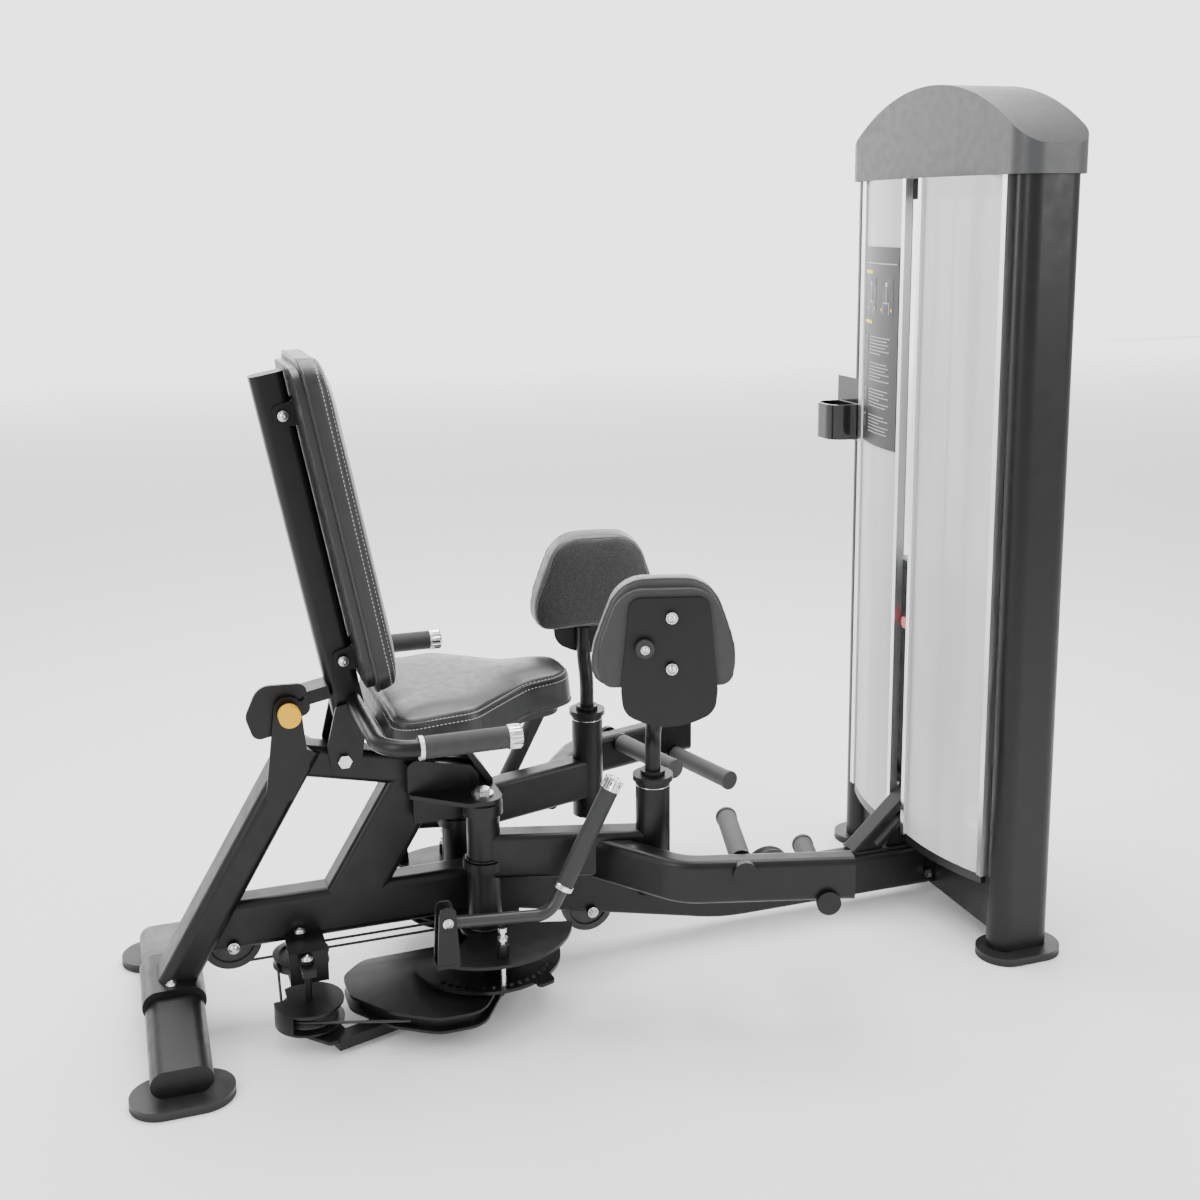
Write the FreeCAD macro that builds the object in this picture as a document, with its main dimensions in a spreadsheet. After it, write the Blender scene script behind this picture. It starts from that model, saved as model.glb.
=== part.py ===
"""Hip abductor machine with a selectorised weight stack, as a parametric FreeCAD document.

Frame: millimetres, +Z up, +X the way the user faces (towards the weight tower), +Y the user's
left.  The origin is on the floor at the middle of the machine's footprint.
"""
import FreeCAD
import Part
import math
import os
import Sketcher
from FreeCAD import Placement, Rotation, Vector

doc = FreeCAD.newDocument("HipAbductor")
sheet = doc.addObject("Spreadsheet::Sheet", "Dims")

DIMENSIONS = [
    ("tower_x", 776, "centre of the tower uprights"),
    ("stabilizer_x", -775, "centre of the rear cross foot"),
    ("tower_foot_y", 287, ""),
    ("rear_foot_y", 247, ""),
    ("tower_foot_length", 167, "oblong foot plates under the uprights"),
    ("tower_foot_width", 105, ""),
    ("rear_foot_length", 169, "oblong foot plates under the cross foot"),
    ("rear_foot_width", 108, ""),
    ("rubber_thickness", 9, "rubber pad under each foot plate"),
    ("foot_thickness", 6, "steel foot plate"),
    ("wall", 3, "wall of the frame tubes"),
    ("upright_depth", 120, "flat oval tower uprights"),
    ("upright_width", 60, ""),
    ("upright_y", 280, ""),
    ("upright_top", 1500, ""),
    ("cover_bottom", 1468, "moulded cover over the tower head"),
    ("cover_side_top", 1520, "where the sides meet the arch"),
    ("cover_peak", 1640, ""),
    ("cover_half_width", 318, ""),
    ("cover_depth", 150, ""),
    ("shroud_bottom", 150, "translucent shroud panels"),
    ("beam_bottom", 35, "tower cross beam"),
    ("beam_top", 140, ""),
    ("tube_width", 60, "main frame tubes"),
    ("base_height", 88, "base tube"),
    ("base_low", 72, "centre height of the base tube at the tower"),
    ("base_high", 174, "centre height of the base tube under the seat"),
    ("base_slope", 12.3, "degrees between the two levels"),
    ("base_bend", 400, "bend radius"),
    ("base_front", 737, "tower end of the base tube"),
    ("rear_upright_depth", 62, "slanted rear tube"),
    ("rear_upright_width", 90, ""),
    ("rear_upright_angle", 59.3, ""),
    ("seat_post_depth", 100, "slanted tube under the seat"),
    ("seat_post_angle", 58.6, ""),
    ("seat_beam_height", 58, "tube under the seat cushion"),
    ("seat_beam_slope", 12.5, "degrees down towards the front"),
    ("pivot_x", -229, "vertical pivots of the two arms"),
    ("pivot_y", 104, ""),
    ("shaft_diameter", 32, ""),
    ("shaft_bore", 32.16, "running fit on the shaft"),
    ("carrier_bottom", 383, "plate that holds the tops of the shafts"),
    ("carrier_thickness", 8, ""),
    ("arm_angle", 15.8, "opening of each arm from straight ahead"),
    ("arm_hub_diameter", 60, "tube round the pivot shaft"),
    ("arm_plate_top", 141.5, "half round plate under the arm hub"),
    ("arm_plate_thickness", 6, ""),
    ("arm_plate_radius", 157, ""),
    ("arm_reach", 305, "pivot to the thigh pad hub"),
    ("arm_beam_width", 50, ""),
    ("arm_beam_bottom", 238, ""),
    ("arm_beam_height", 82, ""),
    ("pad_hub_diameter", 62, ""),
    ("pad_hub_bottom", 198, ""),
    ("pad_hub_top", 411, ""),
    ("foot_tube_width", 45, "bent tube that carries the foot pegs"),
    ("foot_tube_height", 77, ""),
    ("foot_tube_offset", 112, "sideways from the arm"),
    ("foot_tube_end", 640, ""),
    ("peg_rod", 20, ""),
    ("roller_diameter", 37, ""),
    ("post_diameter", 28, "thigh pad post"),
    ("post_bore", 28.16, "running fit of the post in its hub"),
    ("pad_plate_thickness", 6, ""),
    ("pad_board_thickness", 16, ""),
    ("thigh_pad_thickness", 62, ""),
    ("left_pad_turn", -22.8, "degrees the left pad is turned on its arm"),
    ("cam_flange", 5, ""),
    ("range_radius", 135, "drilled range plate on each cam"),
    ("drum_radius", 110, "round cable drum of the left arm"),
    ("cable_diameter", 5, ""),
    ("drum_cable_radius", 104, ""),
    ("cable_low", 93, "height of the cable under the seat"),
    ("pulley_width", 20, ""),
    ("axle_diameter", 12, ""),
    ("axle_bore", 12.1, ""),
    ("plate_count", 17, "weight plates under the top plate"),
    ("lifted_count", 4, "plates held by the selector pin"),
    ("plate_pitch", 25.1, ""),
    ("plate_gap", 0.5, ""),
    ("plate_width", 216, ""),
    ("plate_depth", 88, ""),
    ("top_plate_bottom", 677, ""),
    ("guide_diameter", 20, ""),
    ("guide_bore", 21, ""),
    ("guide_y", 75, ""),
    ("selector_diameter", 24, ""),
    ("back_lean", 10.9, "degrees the back rest leans from upright"),
    ("post_depth", 58, "back rest tube"),
    ("post_width", 50, ""),
    ("back_pivot_x", -461, "hinge of the back rest"),
    ("back_pivot_z", 460, ""),
    ("back_width", 300, "back cushion"),
    ("back_pad_thickness", 41, ""),
    ("board_thickness", 15, ""),
    ("handle_diameter", 28, "side handles"),
    ("handle_y", 300, ""),
    ("handle_bend", 60, ""),
    ("grip_diameter", 37, ""),
    ("grip_length", 141, ""),
    ("lever_diameter", 22, "start position lever"),
    ("lever_grip", 32, ""),
    ("pull_pin_diameter", 10, ""),
    ("knob_diameter", 38, "recline pull knob"),
]
for row, (alias, number, note) in enumerate(DIMENSIONS, start=1):
    sheet.set("A%d" % row, alias)
    sheet.set("B%d" % row, str(number))
    sheet.setAlias("B%d" % row, alias)
    sheet.set("C%d" % row, note)
doc.recompute()
ALIASES = [alias for alias, number, note in DIMENSIONS]


def val(alias):
    """The number in the cell with this alias."""
    return float(getattr(sheet, alias))


def with_sheet(text):
    """A size as an expression: each alias in it is read from the sheet."""
    words = []
    word = ""
    for letter in text + " ":
        if letter.isalnum() or letter == "_":
            word += letter
            continue
        words.append("Dims." + word if word in ALIASES else word)
        words.append(letter)
        word = ""
    return "".join(words).strip()


def bind(item, prop, size):
    """Set a property from a number, or bind it to the sheet when the size is text."""
    if isinstance(size, str):
        item.setExpression(prop, with_sheet(size))
    else:
        setattr(item, prop, size)


# ---------------------------------------------------------------- building blocks

def add(kind, name):
    return doc.addObject(kind, name)


def place(item, at=(0, 0, 0), turn=None):
    item.Placement = Placement(Vector(*at), turn or Rotation())
    return item


def aim(direction):
    """Rotation that turns +Z to a direction."""
    return Rotation(Vector(0, 0, 1), Vector(*direction))


def about(axis, angle):
    return Rotation(Vector(*axis), angle)


def box(size, at, turn=None, name="Block"):
    """A block whose lowest corner is at a place."""
    item = add("Part::Box", name)
    for prop, length in zip(("Length", "Width", "Height"), size):
        bind(item, prop, length)
    return place(item, at, turn)


def rod(diameter, length, at, direction=(0, 0, 1), name="Rod"):
    item = add("Part::Cylinder", name)
    bind(item, "Radius", diameter / 2 if not isinstance(diameter, str) else "(" + diameter + ")/2")
    bind(item, "Height", length)
    return place(item, at, aim(direction))


def hexagon(across, length, at, direction=(0, 0, 1)):
    item = add("Part::Prism", "Hex")
    item.Polygon = 6
    item.Circumradius = across / math.sqrt(3)
    item.Height = length
    return place(item, at, aim(direction))


def join(*pieces):
    item = add("Part::MultiFuse", "Weld")
    item.Shapes = list(pieces)
    item.Refine = True
    return item


def cut(base, *tools):
    item = add("Part::Cut", "Cut")
    item.Base = base
    if len(tools) == 1:
        item.Tool = tools[0]
    else:
        cutters = add("Part::MultiFuse", "Cutters")
        cutters.Shapes = list(tools)
        item.Tool = cutters
    return item


def common(first, second):
    item = add("Part::Common", "Overlap")
    item.Base = first
    item.Tool = second
    return item


def several(*pieces):
    item = add("Part::Compound", "Group")
    item.Links = list(pieces)
    return item


def mirrored(source):
    """The same piece on the other side of the middle plane."""
    item = add("Part::Mirroring", "Mirror")
    item.Source = source
    item.Base = Vector(0, 0, 0)
    item.Normal = Vector(0, 1, 0)
    return item


def plane_of(body, role):
    for feature in body.Origin.OriginFeatures:
        if feature.Role == role:
            return feature
    raise ValueError(role)


def sketch_on(body, role, offset=0, shift=(0, 0)):
    sketch = body.newObject("Sketcher::SketchObject", "Sketch")
    sketch.AttachmentSupport = [(plane_of(body, role), "")]
    sketch.MapMode = "FlatFace"
    sketch.AttachmentOffset = Placement(Vector(shift[0], shift[1], offset), Rotation())
    return sketch


def draw_rectangle(sketch, width, height):
    """A centred rectangle whose two sizes are bound to the sheet."""
    corners = [Vector(-20, -10, 0), Vector(20, -10, 0), Vector(20, 10, 0), Vector(-20, 10, 0)]
    first = sketch.GeometryCount
    for index in range(4):
        sketch.addGeometry(Part.LineSegment(corners[index], corners[(index + 1) % 4]), False)
    for index in range(4):
        following = first + (index + 1) % 4
        sketch.addConstraint(Sketcher.Constraint("Coincident", first + index, 2, following, 1))
    sketch.addConstraint(Sketcher.Constraint("Horizontal", first))
    sketch.addConstraint(Sketcher.Constraint("Horizontal", first + 2))
    sketch.addConstraint(Sketcher.Constraint("Vertical", first + 1))
    sketch.addConstraint(Sketcher.Constraint("Vertical", first + 3))
    sketch.addConstraint(Sketcher.Constraint("Symmetric", first, 1, first + 1, 2, -1, 1))
    for line, size in ((first, width), (first + 1, height)):
        number = sketch.addConstraint(Sketcher.Constraint("Distance", line, 20.0))
        bind_constraint(sketch, number, size)


def bind_constraint(sketch, number, size):
    if isinstance(size, str):
        sketch.setExpression("Constraints[%d]" % number, with_sheet(size))
    else:
        sketch.setDatum(number, float(size))


def draw_circle(sketch, diameter, at=(0, 0)):
    first = sketch.GeometryCount
    sketch.addGeometry(Part.Circle(Vector(at[0], at[1], 0), Vector(0, 0, 1), 5), False)
    for axis, place_on_axis in (("DistanceX", at[0]), ("DistanceY", at[1])):
        if abs(place_on_axis) > 1e-6:
            sketch.addConstraint(Sketcher.Constraint(axis, -1, 1, first, 3, place_on_axis))
        else:
            on_axis = -2 if axis == "DistanceX" else -1
            sketch.addConstraint(Sketcher.Constraint("PointOnObject", first, 3, on_axis))
    number = sketch.addConstraint(Sketcher.Constraint("Diameter", first, 10.0))
    bind_constraint(sketch, number, diameter)


def draw_oblong(sketch, length, width):
    """Two half circles joined by straight sides, long along the sketch's x."""
    first = sketch.GeometryCount
    up = math.pi / 2
    z_axis = Vector(0, 0, 1)
    left = Part.Circle(Vector(-20, 0, 0), z_axis, 10)
    right = Part.Circle(Vector(20, 0, 0), z_axis, 10)
    sketch.addGeometry(Part.ArcOfCircle(right, -up, up), False)
    sketch.addGeometry(Part.LineSegment(Vector(20, 10, 0), Vector(-20, 10, 0)), False)
    sketch.addGeometry(Part.ArcOfCircle(left, up, 3 * up), False)
    sketch.addGeometry(Part.LineSegment(Vector(-20, -10, 0), Vector(20, -10, 0)), False)
    for index in range(4):
        following = first + (index + 1) % 4
        sketch.addConstraint(Sketcher.Constraint("Tangent", first + index, 2, following, 1))
    sketch.addConstraint(Sketcher.Constraint("Equal", first, first + 2))
    sketch.addConstraint(Sketcher.Constraint("Symmetric", first, 3, first + 2, 3, -1, 1))
    sketch.addConstraint(Sketcher.Constraint("Horizontal", first + 1))
    number = sketch.addConstraint(Sketcher.Constraint("Radius", first, 10.0))
    bind_constraint(sketch, number, "(" + width + ")/2")
    number = sketch.addConstraint(Sketcher.Constraint("Distance", first + 1, 40.0))
    bind_constraint(sketch, number, "(" + length + ")-(" + width + ")")


def rounded_path(points, radii):
    """Closed outline through the points, with each corner rounded by its radius."""
    count = len(points)
    ends = []
    edges = []
    for index in range(count):
        before = Vector(*points[index - 1], 0)
        here = Vector(*points[index], 0)
        after = Vector(*points[(index + 1) % count], 0)
        back = (before - here).normalize()
        ahead = (after - here).normalize()
        radius = radii[index]
        if radius <= 0:
            ends.append((here, here))
            continue
        half = back.getAngle(ahead) / 2
        reach = radius / math.tan(half)
        start = here + back * reach
        finish = here + ahead * reach
        middle_direction = (back + ahead).normalize()
        middle = here + middle_direction * (radius / math.sin(half) - radius)
        edges.append((index, Part.Arc(start, middle, finish)))
        ends.append((start, finish))
    geometry = []
    arcs = dict(edges)
    for index in range(count):
        if index in arcs:
            geometry.append(arcs[index])
        line_start = ends[index][1]
        line_end = ends[(index + 1) % count][0]
        if line_start.distanceToPoint(line_end) > 1e-4:
            geometry.append(Part.LineSegment(line_start, line_end))
    return geometry


def draw_outline(sketch, points, radii):
    if not isinstance(radii, (list, tuple)):
        radii = [radii] * len(points)
    for shape in rounded_path(points, radii):
        sketch.addGeometry(shape, False)


def pad(body, sketch, length, both_ways=False):
    feature = body.newObject("PartDesign::Pad", "Pad")
    feature.Profile = sketch
    bind(feature, "Length", length)
    feature.Midplane = both_ways
    return feature


def plate(points, radii, thickness, at=(0, 0, 0), turn=None, holes=()):
    """A flat plate: outline in x and y, thickness up; holes are (x, y, diameter)."""
    body = add("PartDesign::Body", "Plate")
    sketch = sketch_on(body, "XY_Plane")
    draw_outline(sketch, points, radii)
    for x, y, diameter in holes:
        draw_circle(sketch, diameter, (x, y))
    pad(body, sketch, thickness)
    return place(body, at, turn)


def upright_plate(points, radii, y_from, y_to, origin=(0, 0, 0), holes=()):
    """A plate that stands on edge: outline in x and z, between two values of y."""
    low = min(y_from, y_to)
    at = (origin[0], origin[1] + low + abs(y_to - y_from), origin[2])
    return plate(points, radii, abs(y_to - y_from), at, about((1, 0, 0), 90), holes)


def oblong_plate(length, width, thickness, at):
    body = add("PartDesign::Body", "OblongPlate")
    sketch = sketch_on(body, "XY_Plane")
    draw_oblong(sketch, length, width)
    pad(body, sketch, thickness)
    return place(body, at)


def straight_tube(width, height, length, rounding, wall=None, at=(0, 0, 0), turn=None):
    """A rounded rectangular tube along +Z, with its middle line at x = y = 0."""
    body = add("PartDesign::Body", "Tube")
    sketch = sketch_on(body, "XY_Plane")
    draw_rectangle(sketch, width, height)
    if wall is not None:
        draw_rectangle(sketch, width + "-2*" + wall, height + "-2*" + wall)
    block = pad(body, sketch, length)
    doc.recompute()
    bounds = block.Shape.BoundBox
    inner_names = []
    outer_names = []
    for number, edge in enumerate(block.Shape.Edges, start=1):
        if abs(edge.tangentAt(edge.FirstParameter).z) < 0.99:
            continue
        on_skin = abs(edge.Vertexes[0].X) > bounds.XMax - 0.1
        (outer_names if on_skin else inner_names).append("Edge%d" % number)
    rounded = body.newObject("PartDesign::Fillet", "OuterRounding")
    rounded.Base = (block, outer_names)
    rounded.Radius = rounding
    body.Tip = rounded
    if inner_names:
        doc.recompute()
        inner_names = [
            "Edge%d" % number
            for number, edge in enumerate(rounded.Shape.Edges, start=1)
            if edge.Curve.TypeId == "Part::GeomLine"
            and abs(edge.tangentAt(edge.FirstParameter).z) > 0.99
            and abs(abs(edge.Vertexes[0].X) - bounds.XMax + val(wall)) < 0.1
            and abs(abs(edge.Vertexes[0].Y) - bounds.YMax + val(wall)) < 0.1
        ]
        inner = body.newObject("PartDesign::Fillet", "InnerRounding")
        inner.Base = (rounded, inner_names)
        inner.Radius = rounding - val(wall)
        body.Tip = inner
    return place(body, at, turn)


def turtle_path(steps):
    """Lines and arcs in x and y from the origin, first along +x.
    A step is ("line", length) or ("arc", radius, angle), with left turns positive."""
    at = Vector(0, 0, 0)
    heading = 0.0
    shapes = []
    for step in steps:
        forward = Vector(math.cos(heading), math.sin(heading), 0)
        if step[0] == "line":
            finish = at + forward * step[1]
            shapes.append(Part.LineSegment(at, finish))
        else:
            radius, angle = step[1], math.radians(step[2])
            side = 1 if angle > 0 else -1
            left = Vector(-math.sin(heading), math.cos(heading), 0) * side
            centre = at + left * radius

            def on_arc(part):
                turned = Rotation(Vector(0, 0, 1), math.degrees(angle * part))
                return centre + turned.multVec(at - centre)

            finish = on_arc(1)
            shapes.append(Part.Arc(at, on_arc(0.5), finish))
            heading += angle
        at = finish
    return shapes


def bent_tube(steps, draw_profile, at=(0, 0, 0), turn=None):
    """A tube swept along a turtle path; the profile is drawn square to its start."""
    body = add("PartDesign::Body", "BentTube")
    spine = sketch_on(body, "XY_Plane")
    for shape in turtle_path(steps):
        spine.addGeometry(shape, False)
    profile = sketch_on(body, "YZ_Plane")
    draw_profile(profile)
    pipe = body.newObject("PartDesign::AdditivePipe", "Pipe")
    pipe.Profile = profile
    pipe.Spine = spine
    body.Tip = pipe
    return place(body, at, turn)


def rounded_section(width, height, rounding, wall=0):
    """A drawing function for a rounded rectangle, with a bore if it has a wall."""
    def draw(sketch):
        for inset in ((0, wall) if wall else (0,)):
            half_w = width / 2 - inset
            half_h = height / 2 - inset
            corners = [(-half_w, -half_h), (half_w, -half_h), (half_w, half_h), (-half_w, half_h)]
            draw_outline(sketch, corners, rounding - inset)
    return draw


def round_section(diameter, bore=None):
    def draw(sketch):
        draw_circle(sketch, diameter)
        if bore is not None:
            draw_circle(sketch, bore)
    return draw


def pulley(groove_radius, at, axis, rim=6, bore="axle_bore"):
    """A grooved wheel; groove_radius is where the middle of the cable runs."""
    body = add("PartDesign::Body", "Pulley")
    half = val("pulley_width") / 2
    floor = groove_radius - val("cable_diameter") / 2 - 0.2
    outer = groove_radius + rim
    inner = val(bore) / 2
    hub = inner + 9
    web = 3.5
    outline = [
        (inner, -half), (hub, -half), (hub + 2, -half + web), (floor - 5, -half + web),
        (floor - 3, -half), (outer, -half), (outer, -half + 2), (floor, -1.4), (floor, 1.4),
        (outer, half - 2), (outer, half), (floor - 3, half), (floor - 5, half - web),
        (hub + 2, half - web), (hub, half), (inner, half),
    ]
    sketch = sketch_on(body, "XZ_Plane")
    draw_outline(sketch, outline, 0)
    turned = body.newObject("PartDesign::Revolution", "Wheel")
    turned.Profile = sketch
    turned.ReferenceAxis = (sketch, ["V_Axis"])
    turned.Angle = 360
    body.Tip = turned
    return place(body, at, aim(axis))


NODES = []


def node(name, item):
    """Name a finished sub-part; its label is also the name of its file."""
    item.Label = name
    NODES.append(item)
    return item


def cos(angle):
    return math.cos(math.radians(angle))


def sin(angle):
    return math.sin(math.radians(angle))


def tan(angle):
    return math.tan(math.radians(angle))


def wire_solid(edges, diameter):
    """A round cable along tangent lines and arcs."""
    path = Part.Wire(edges)
    start = edges[0].Vertexes[0].Point
    heading = edges[0].tangentAt(edges[0].FirstParameter)
    profile = Part.Wire(Part.Circle(start, heading, diameter / 2).toShape())
    solid = path.makePipeShell([profile], True, True)
    expected = math.pi * diameter ** 2 / 4 * path.Length
    radii = sorted({round(edge.Curve.Radius) for edge in edges if hasattr(edge.Curve, "Radius")})
    print("cable length %.0f, volume ratio %.4f" % (path.Length, solid.Volume / expected))
    print("arc radii", radii)
    return solid


def cable(name, edges, diameter):
    item = add("Part::Feature", "Cable")
    item.Shape = wire_solid(edges, diameter)
    item.Placement = Placement()
    return node(name, item)


def arc_between(centre, start, angle, axis):
    """An arc from a point about a centre, with its angle counted about the axis."""
    def turned(part):
        return centre + Rotation(axis, angle * part).multVec(start - centre)
    return Part.Arc(start, turned(0.5), turned(1)).toShape()


def belt(stops):
    """Straight runs tangent to a row of circles in the plane y = 0.
    A stop is (x, z, radius, side); side is 1 where the cable turns from +X towards +Z."""
    touches = []
    for first, second in zip(stops, stops[1:]):
        gap_x = second[0] - first[0]
        gap_z = second[1] - first[1]
        offset = second[3] * second[2] - first[3] * first[2]
        heading = math.atan2(gap_z, gap_x) - math.asin(offset / math.hypot(gap_x, gap_z))
        normal = (-math.sin(heading), math.cos(heading))
        ends = []
        for x, z, radius, side in (first, second):
            ends.append(Vector(x - side * radius * normal[0], 0, z - side * radius * normal[1]))
        touches.append((ends[0], ends[1], math.degrees(heading)))
    edges = []
    for number, (start, finish, heading) in enumerate(touches):
        edges.append(Part.LineSegment(start, finish).toShape())
        if number + 1 < len(touches):
            x, z, radius, side = stops[number + 1]
            turn = (touches[number + 1][2] - heading) % 360
            if side < 0:
                turn -= 360
            edges.append(arc_between(Vector(x, 0, z), finish, turn, Vector(0, -1, 0)))
    return edges


def rounded_run(points, radii):
    """An open path through points in space, with each inner corner rounded."""
    edges = []
    at = Vector(*points[0])
    for index in range(1, len(points) - 1):
        here = Vector(*points[index])
        back = (Vector(*points[index - 1]) - here).normalize()
        ahead = (Vector(*points[index + 1]) - here).normalize()
        half = back.getAngle(ahead) / 2
        radius = radii[index - 1]
        reach = radius / math.tan(half)
        start = here + back * reach
        finish = here + ahead * reach
        middle = here + (back + ahead).normalize() * (radius / math.sin(half) - radius)
        if at.distanceToPoint(start) > 1e-3:
            edges.append(Part.LineSegment(at, start).toShape())
        edges.append(Part.Arc(start, middle, finish).toShape())
        at = finish
    edges.append(Part.LineSegment(at, Vector(*points[-1])).toShape())
    return edges


def ride(frame, *items):
    """Move pieces that were laid out in a local frame to where that frame lies."""
    for item in items:
        item.Placement = frame.multiply(item.Placement)
    return items


# ---------------------------------------------------------------- feet and frame

TOWER_X = val("tower_x")
PIVOT_X = val("pivot_x")
PIVOT_Y = val("pivot_y")
REAR_X = val("stabilizer_x")
FOOT_TOP = val("rubber_thickness") + val("foot_thickness")
WALL = val("wall")
HALF_TUBE = val("tube_width") / 2
CABLE = val("cable_diameter")

# Vertical pulleys in the middle plane: x, z and the radius at which the cable runs.
REAR_PULLEY = (-669.0, 140.0, 47.0)
MIDDLE_PULLEY = (-2.0, 95.0, 44.0)
FRONT_PULLEY = (383.0, 98.0, 46.0)
TOWER_PULLEY = (TOWER_X + 12, 87.5, 38.0)
TOP_PULLEY = (TOWER_X + 20, 1500.0, 30.0)
# Flat pulleys beside the base tube: x, y, z and the radius of the cable.
CHEEK_Y = 20.0
CHEEK = 6.0
LOWER_SIDE = (-554.0, -137.0, 55.0, 44.0)
UPPER_SIDE = (-554.0, -44.0, 107.0, 44.0)
SYNC_Z = UPPER_SIDE[2]


def feet():
    plates = []
    rubbers = []
    thin = val("rubber_thickness")
    pairs = ((TOWER_X, val("tower_foot_y"), "tower"), (REAR_X, val("rear_foot_y"), "rear"))
    for x, y, prefix in pairs:
        for side in (-1, 1):
            length = prefix + "_foot_length"
            width = prefix + "_foot_width"
            plates.append(oblong_plate(length, width, "foot_thickness", (x, side * y, thin)))
            rubbers.append(oblong_plate(length, width, "rubber_thickness", (x, side * y, 0)))
    node("foot_plates", several(*plates))
    node("foot_rubbers", several(*rubbers))


def rear_stabilizer(upright_solid):
    """A flat oval cross foot that falls from the middle to both ends."""
    end_y = 262.0
    height = 46.0
    end_centre = FOOT_TOP + height / 2
    rise = 33.0
    body = add("PartDesign::Body", "CrossFoot")
    sections = []
    for y, lift in ((-end_y, 0), (0, rise), (end_y, 0)):
        sketch = sketch_on(body, "XZ_Plane", offset=-y, shift=(0, end_centre + lift))
        draw_oblong(sketch, "100", "46")
        sections.append(sketch)
    loft = body.newObject("PartDesign::AdditiveLoft", "Loft")
    loft.Profile = sections[0]
    loft.Sections = sections[1:]
    loft.Ruled = True
    body.Tip = loft
    place(body, (REAR_X, 0, 0))
    soles = [box((110, 130, 30), (REAR_X - 55, side * 240 - 65, FOOT_TOP - 30)) for side in (-1, 1)]
    sleeve = oblong_plate("108", "54", "140", (0, 0, 0))
    place(sleeve, (REAR_X, 70, end_centre + rise), about((1, 0, 0), 90))
    node("rear_stabilizer", cut(join(body, sleeve), upright_solid, *soles))


def slanted(width_y, depth, length, rounding, angle, start, wall=None):
    """A tube in the middle plane that climbs towards +X at an angle."""
    turn = about((0, 1, 0), 90 - angle)
    return straight_tube(depth, width_y, length, rounding, wall, (start[0], 0, start[1]), turn)


def pulley_slot(centre):
    """Room for a pulley that turns in the middle plane."""
    width = val("pulley_width") + 6
    return rod(2 * (centre[2] + 11), width, (centre[0], width / 2, centre[1]), (0, -1, 0))


def base_steps():
    bend = val("base_bend")
    slope = val("base_slope")
    reach = bend * tan(slope / 2)
    drop = val("base_high") - val("base_low")
    low_run = val("base_front") - 276 - reach
    high_run = 526 - reach
    sloping = drop / sin(slope) - 2 * reach
    return [
        ("line", low_run), ("arc", bend, -slope), ("line", sloping), ("arc", bend, slope),
        ("line", high_run),
    ]


def base_tube(solid=False):
    turn = about((0, 0, 1), 180).multiply(about((1, 0, 0), -90))
    section = rounded_section(val("base_height"), val("tube_width"), 14, 0 if solid else WALL)
    return bent_tube(base_steps(), section, (val("base_front"), 0, val("base_low")), turn)


def frame():
    angle = val("rear_upright_angle")
    upright_args = ("rear_upright_width", "rear_upright_depth", 498, 18, angle, (-786, 60))
    upright_solid = slanted(*upright_args)
    upright = slanted(*upright_args, wall="wall")
    rear_stabilizer(upright_solid)
    lid_at = (-786 + 498 * cos(angle), 60 + 498 * sin(angle))
    lid = slanted("rear_upright_width", "rear_upright_depth", 6, 18, angle, lid_at)
    slots = [pulley_slot(REAR_PULLEY), pulley_slot(MIDDLE_PULLEY), pulley_slot(FRONT_PULLEY)]
    bracket = [(-602, 404), (-556, 404), (-524, 460), (-536, 592), (-578, 592)]
    knob_plate = upright_plate(bracket, [8, 8, 12, 20, 20], -51, -45)
    knob_barrel = rod(22, 15, (-557, -59, 567), (0, 1, 0))
    knob_bore = rod("pull_pin_diameter+0.16", 40, (-557, -70, 567), (0, 1, 0))
    welded = join(cut(upright, slots[0]), lid, knob_plate, knob_barrel)
    node("rear_upright", cut(welded, knob_bore))

    axle_holes = []
    for x, z, radius in (REAR_PULLEY, MIDDLE_PULLEY, FRONT_PULLEY):
        axle_holes.append(rod("axle_diameter", 80, (x, 40, z), (0, -1, 0)))
    node("base_tube", cut(base_tube(), upright_solid, *slots, *axle_holes))

    base_solid = base_tube(solid=True)
    beam_args = ("tube_width", "seat_beam_height", 322, 12, -val("seat_beam_slope"), (-545, 466.7))
    beam_solid = slanted(*beam_args)
    post = slanted("tube_width", "seat_post_depth", 288, 14, val("seat_post_angle"), (-469.3, 170), "wall")
    node("seat_post", cut(post, base_solid, beam_solid))
    post_room = slanted("tube_width", "seat_post_depth", 288, 14, val("seat_post_angle"), (-469.3, 170))
    upright_room = slanted("rear_upright_width", "rear_upright_depth", 504.3, 18, angle, (-786, 60))

    pivot_hole = rod("axle_diameter", 100, (val("back_pivot_x"), 50, val("back_pivot_z")), (0, -1, 0))
    risers = []
    for y in (-26, 20):
        outline = [(-374, 430), (-290, 400), (-290, 499), (-374, 499)]
        risers.append(cut(upright_plate(outline, 0, y, y + 6), beam_solid))
    top_plate = plate([(-382, -75), (-250, -75), (-250, 75), (-382, 75)], 12, 6, (0, 0, 499))
    beam = cut(slanted(*beam_args, wall="wall"), pivot_hole)
    slope = val("seat_beam_slope")
    nose_at = (beam_args[5][0] + 322 * cos(slope), beam_args[5][1] - 322 * sin(slope))
    nose_cap = slanted("tube_width", "seat_beam_height", 4, 12, -slope, nose_at)
    node("seat_beam", cut(join(beam, nose_cap, *risers, top_plate), upright_room))
    nose_room = slanted("tube_width", "seat_beam_height", 4.3, 12, -slope, nose_at)
    beam_room = join(beam_solid, nose_room, post_room)
    return base_solid, beam_room


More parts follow.
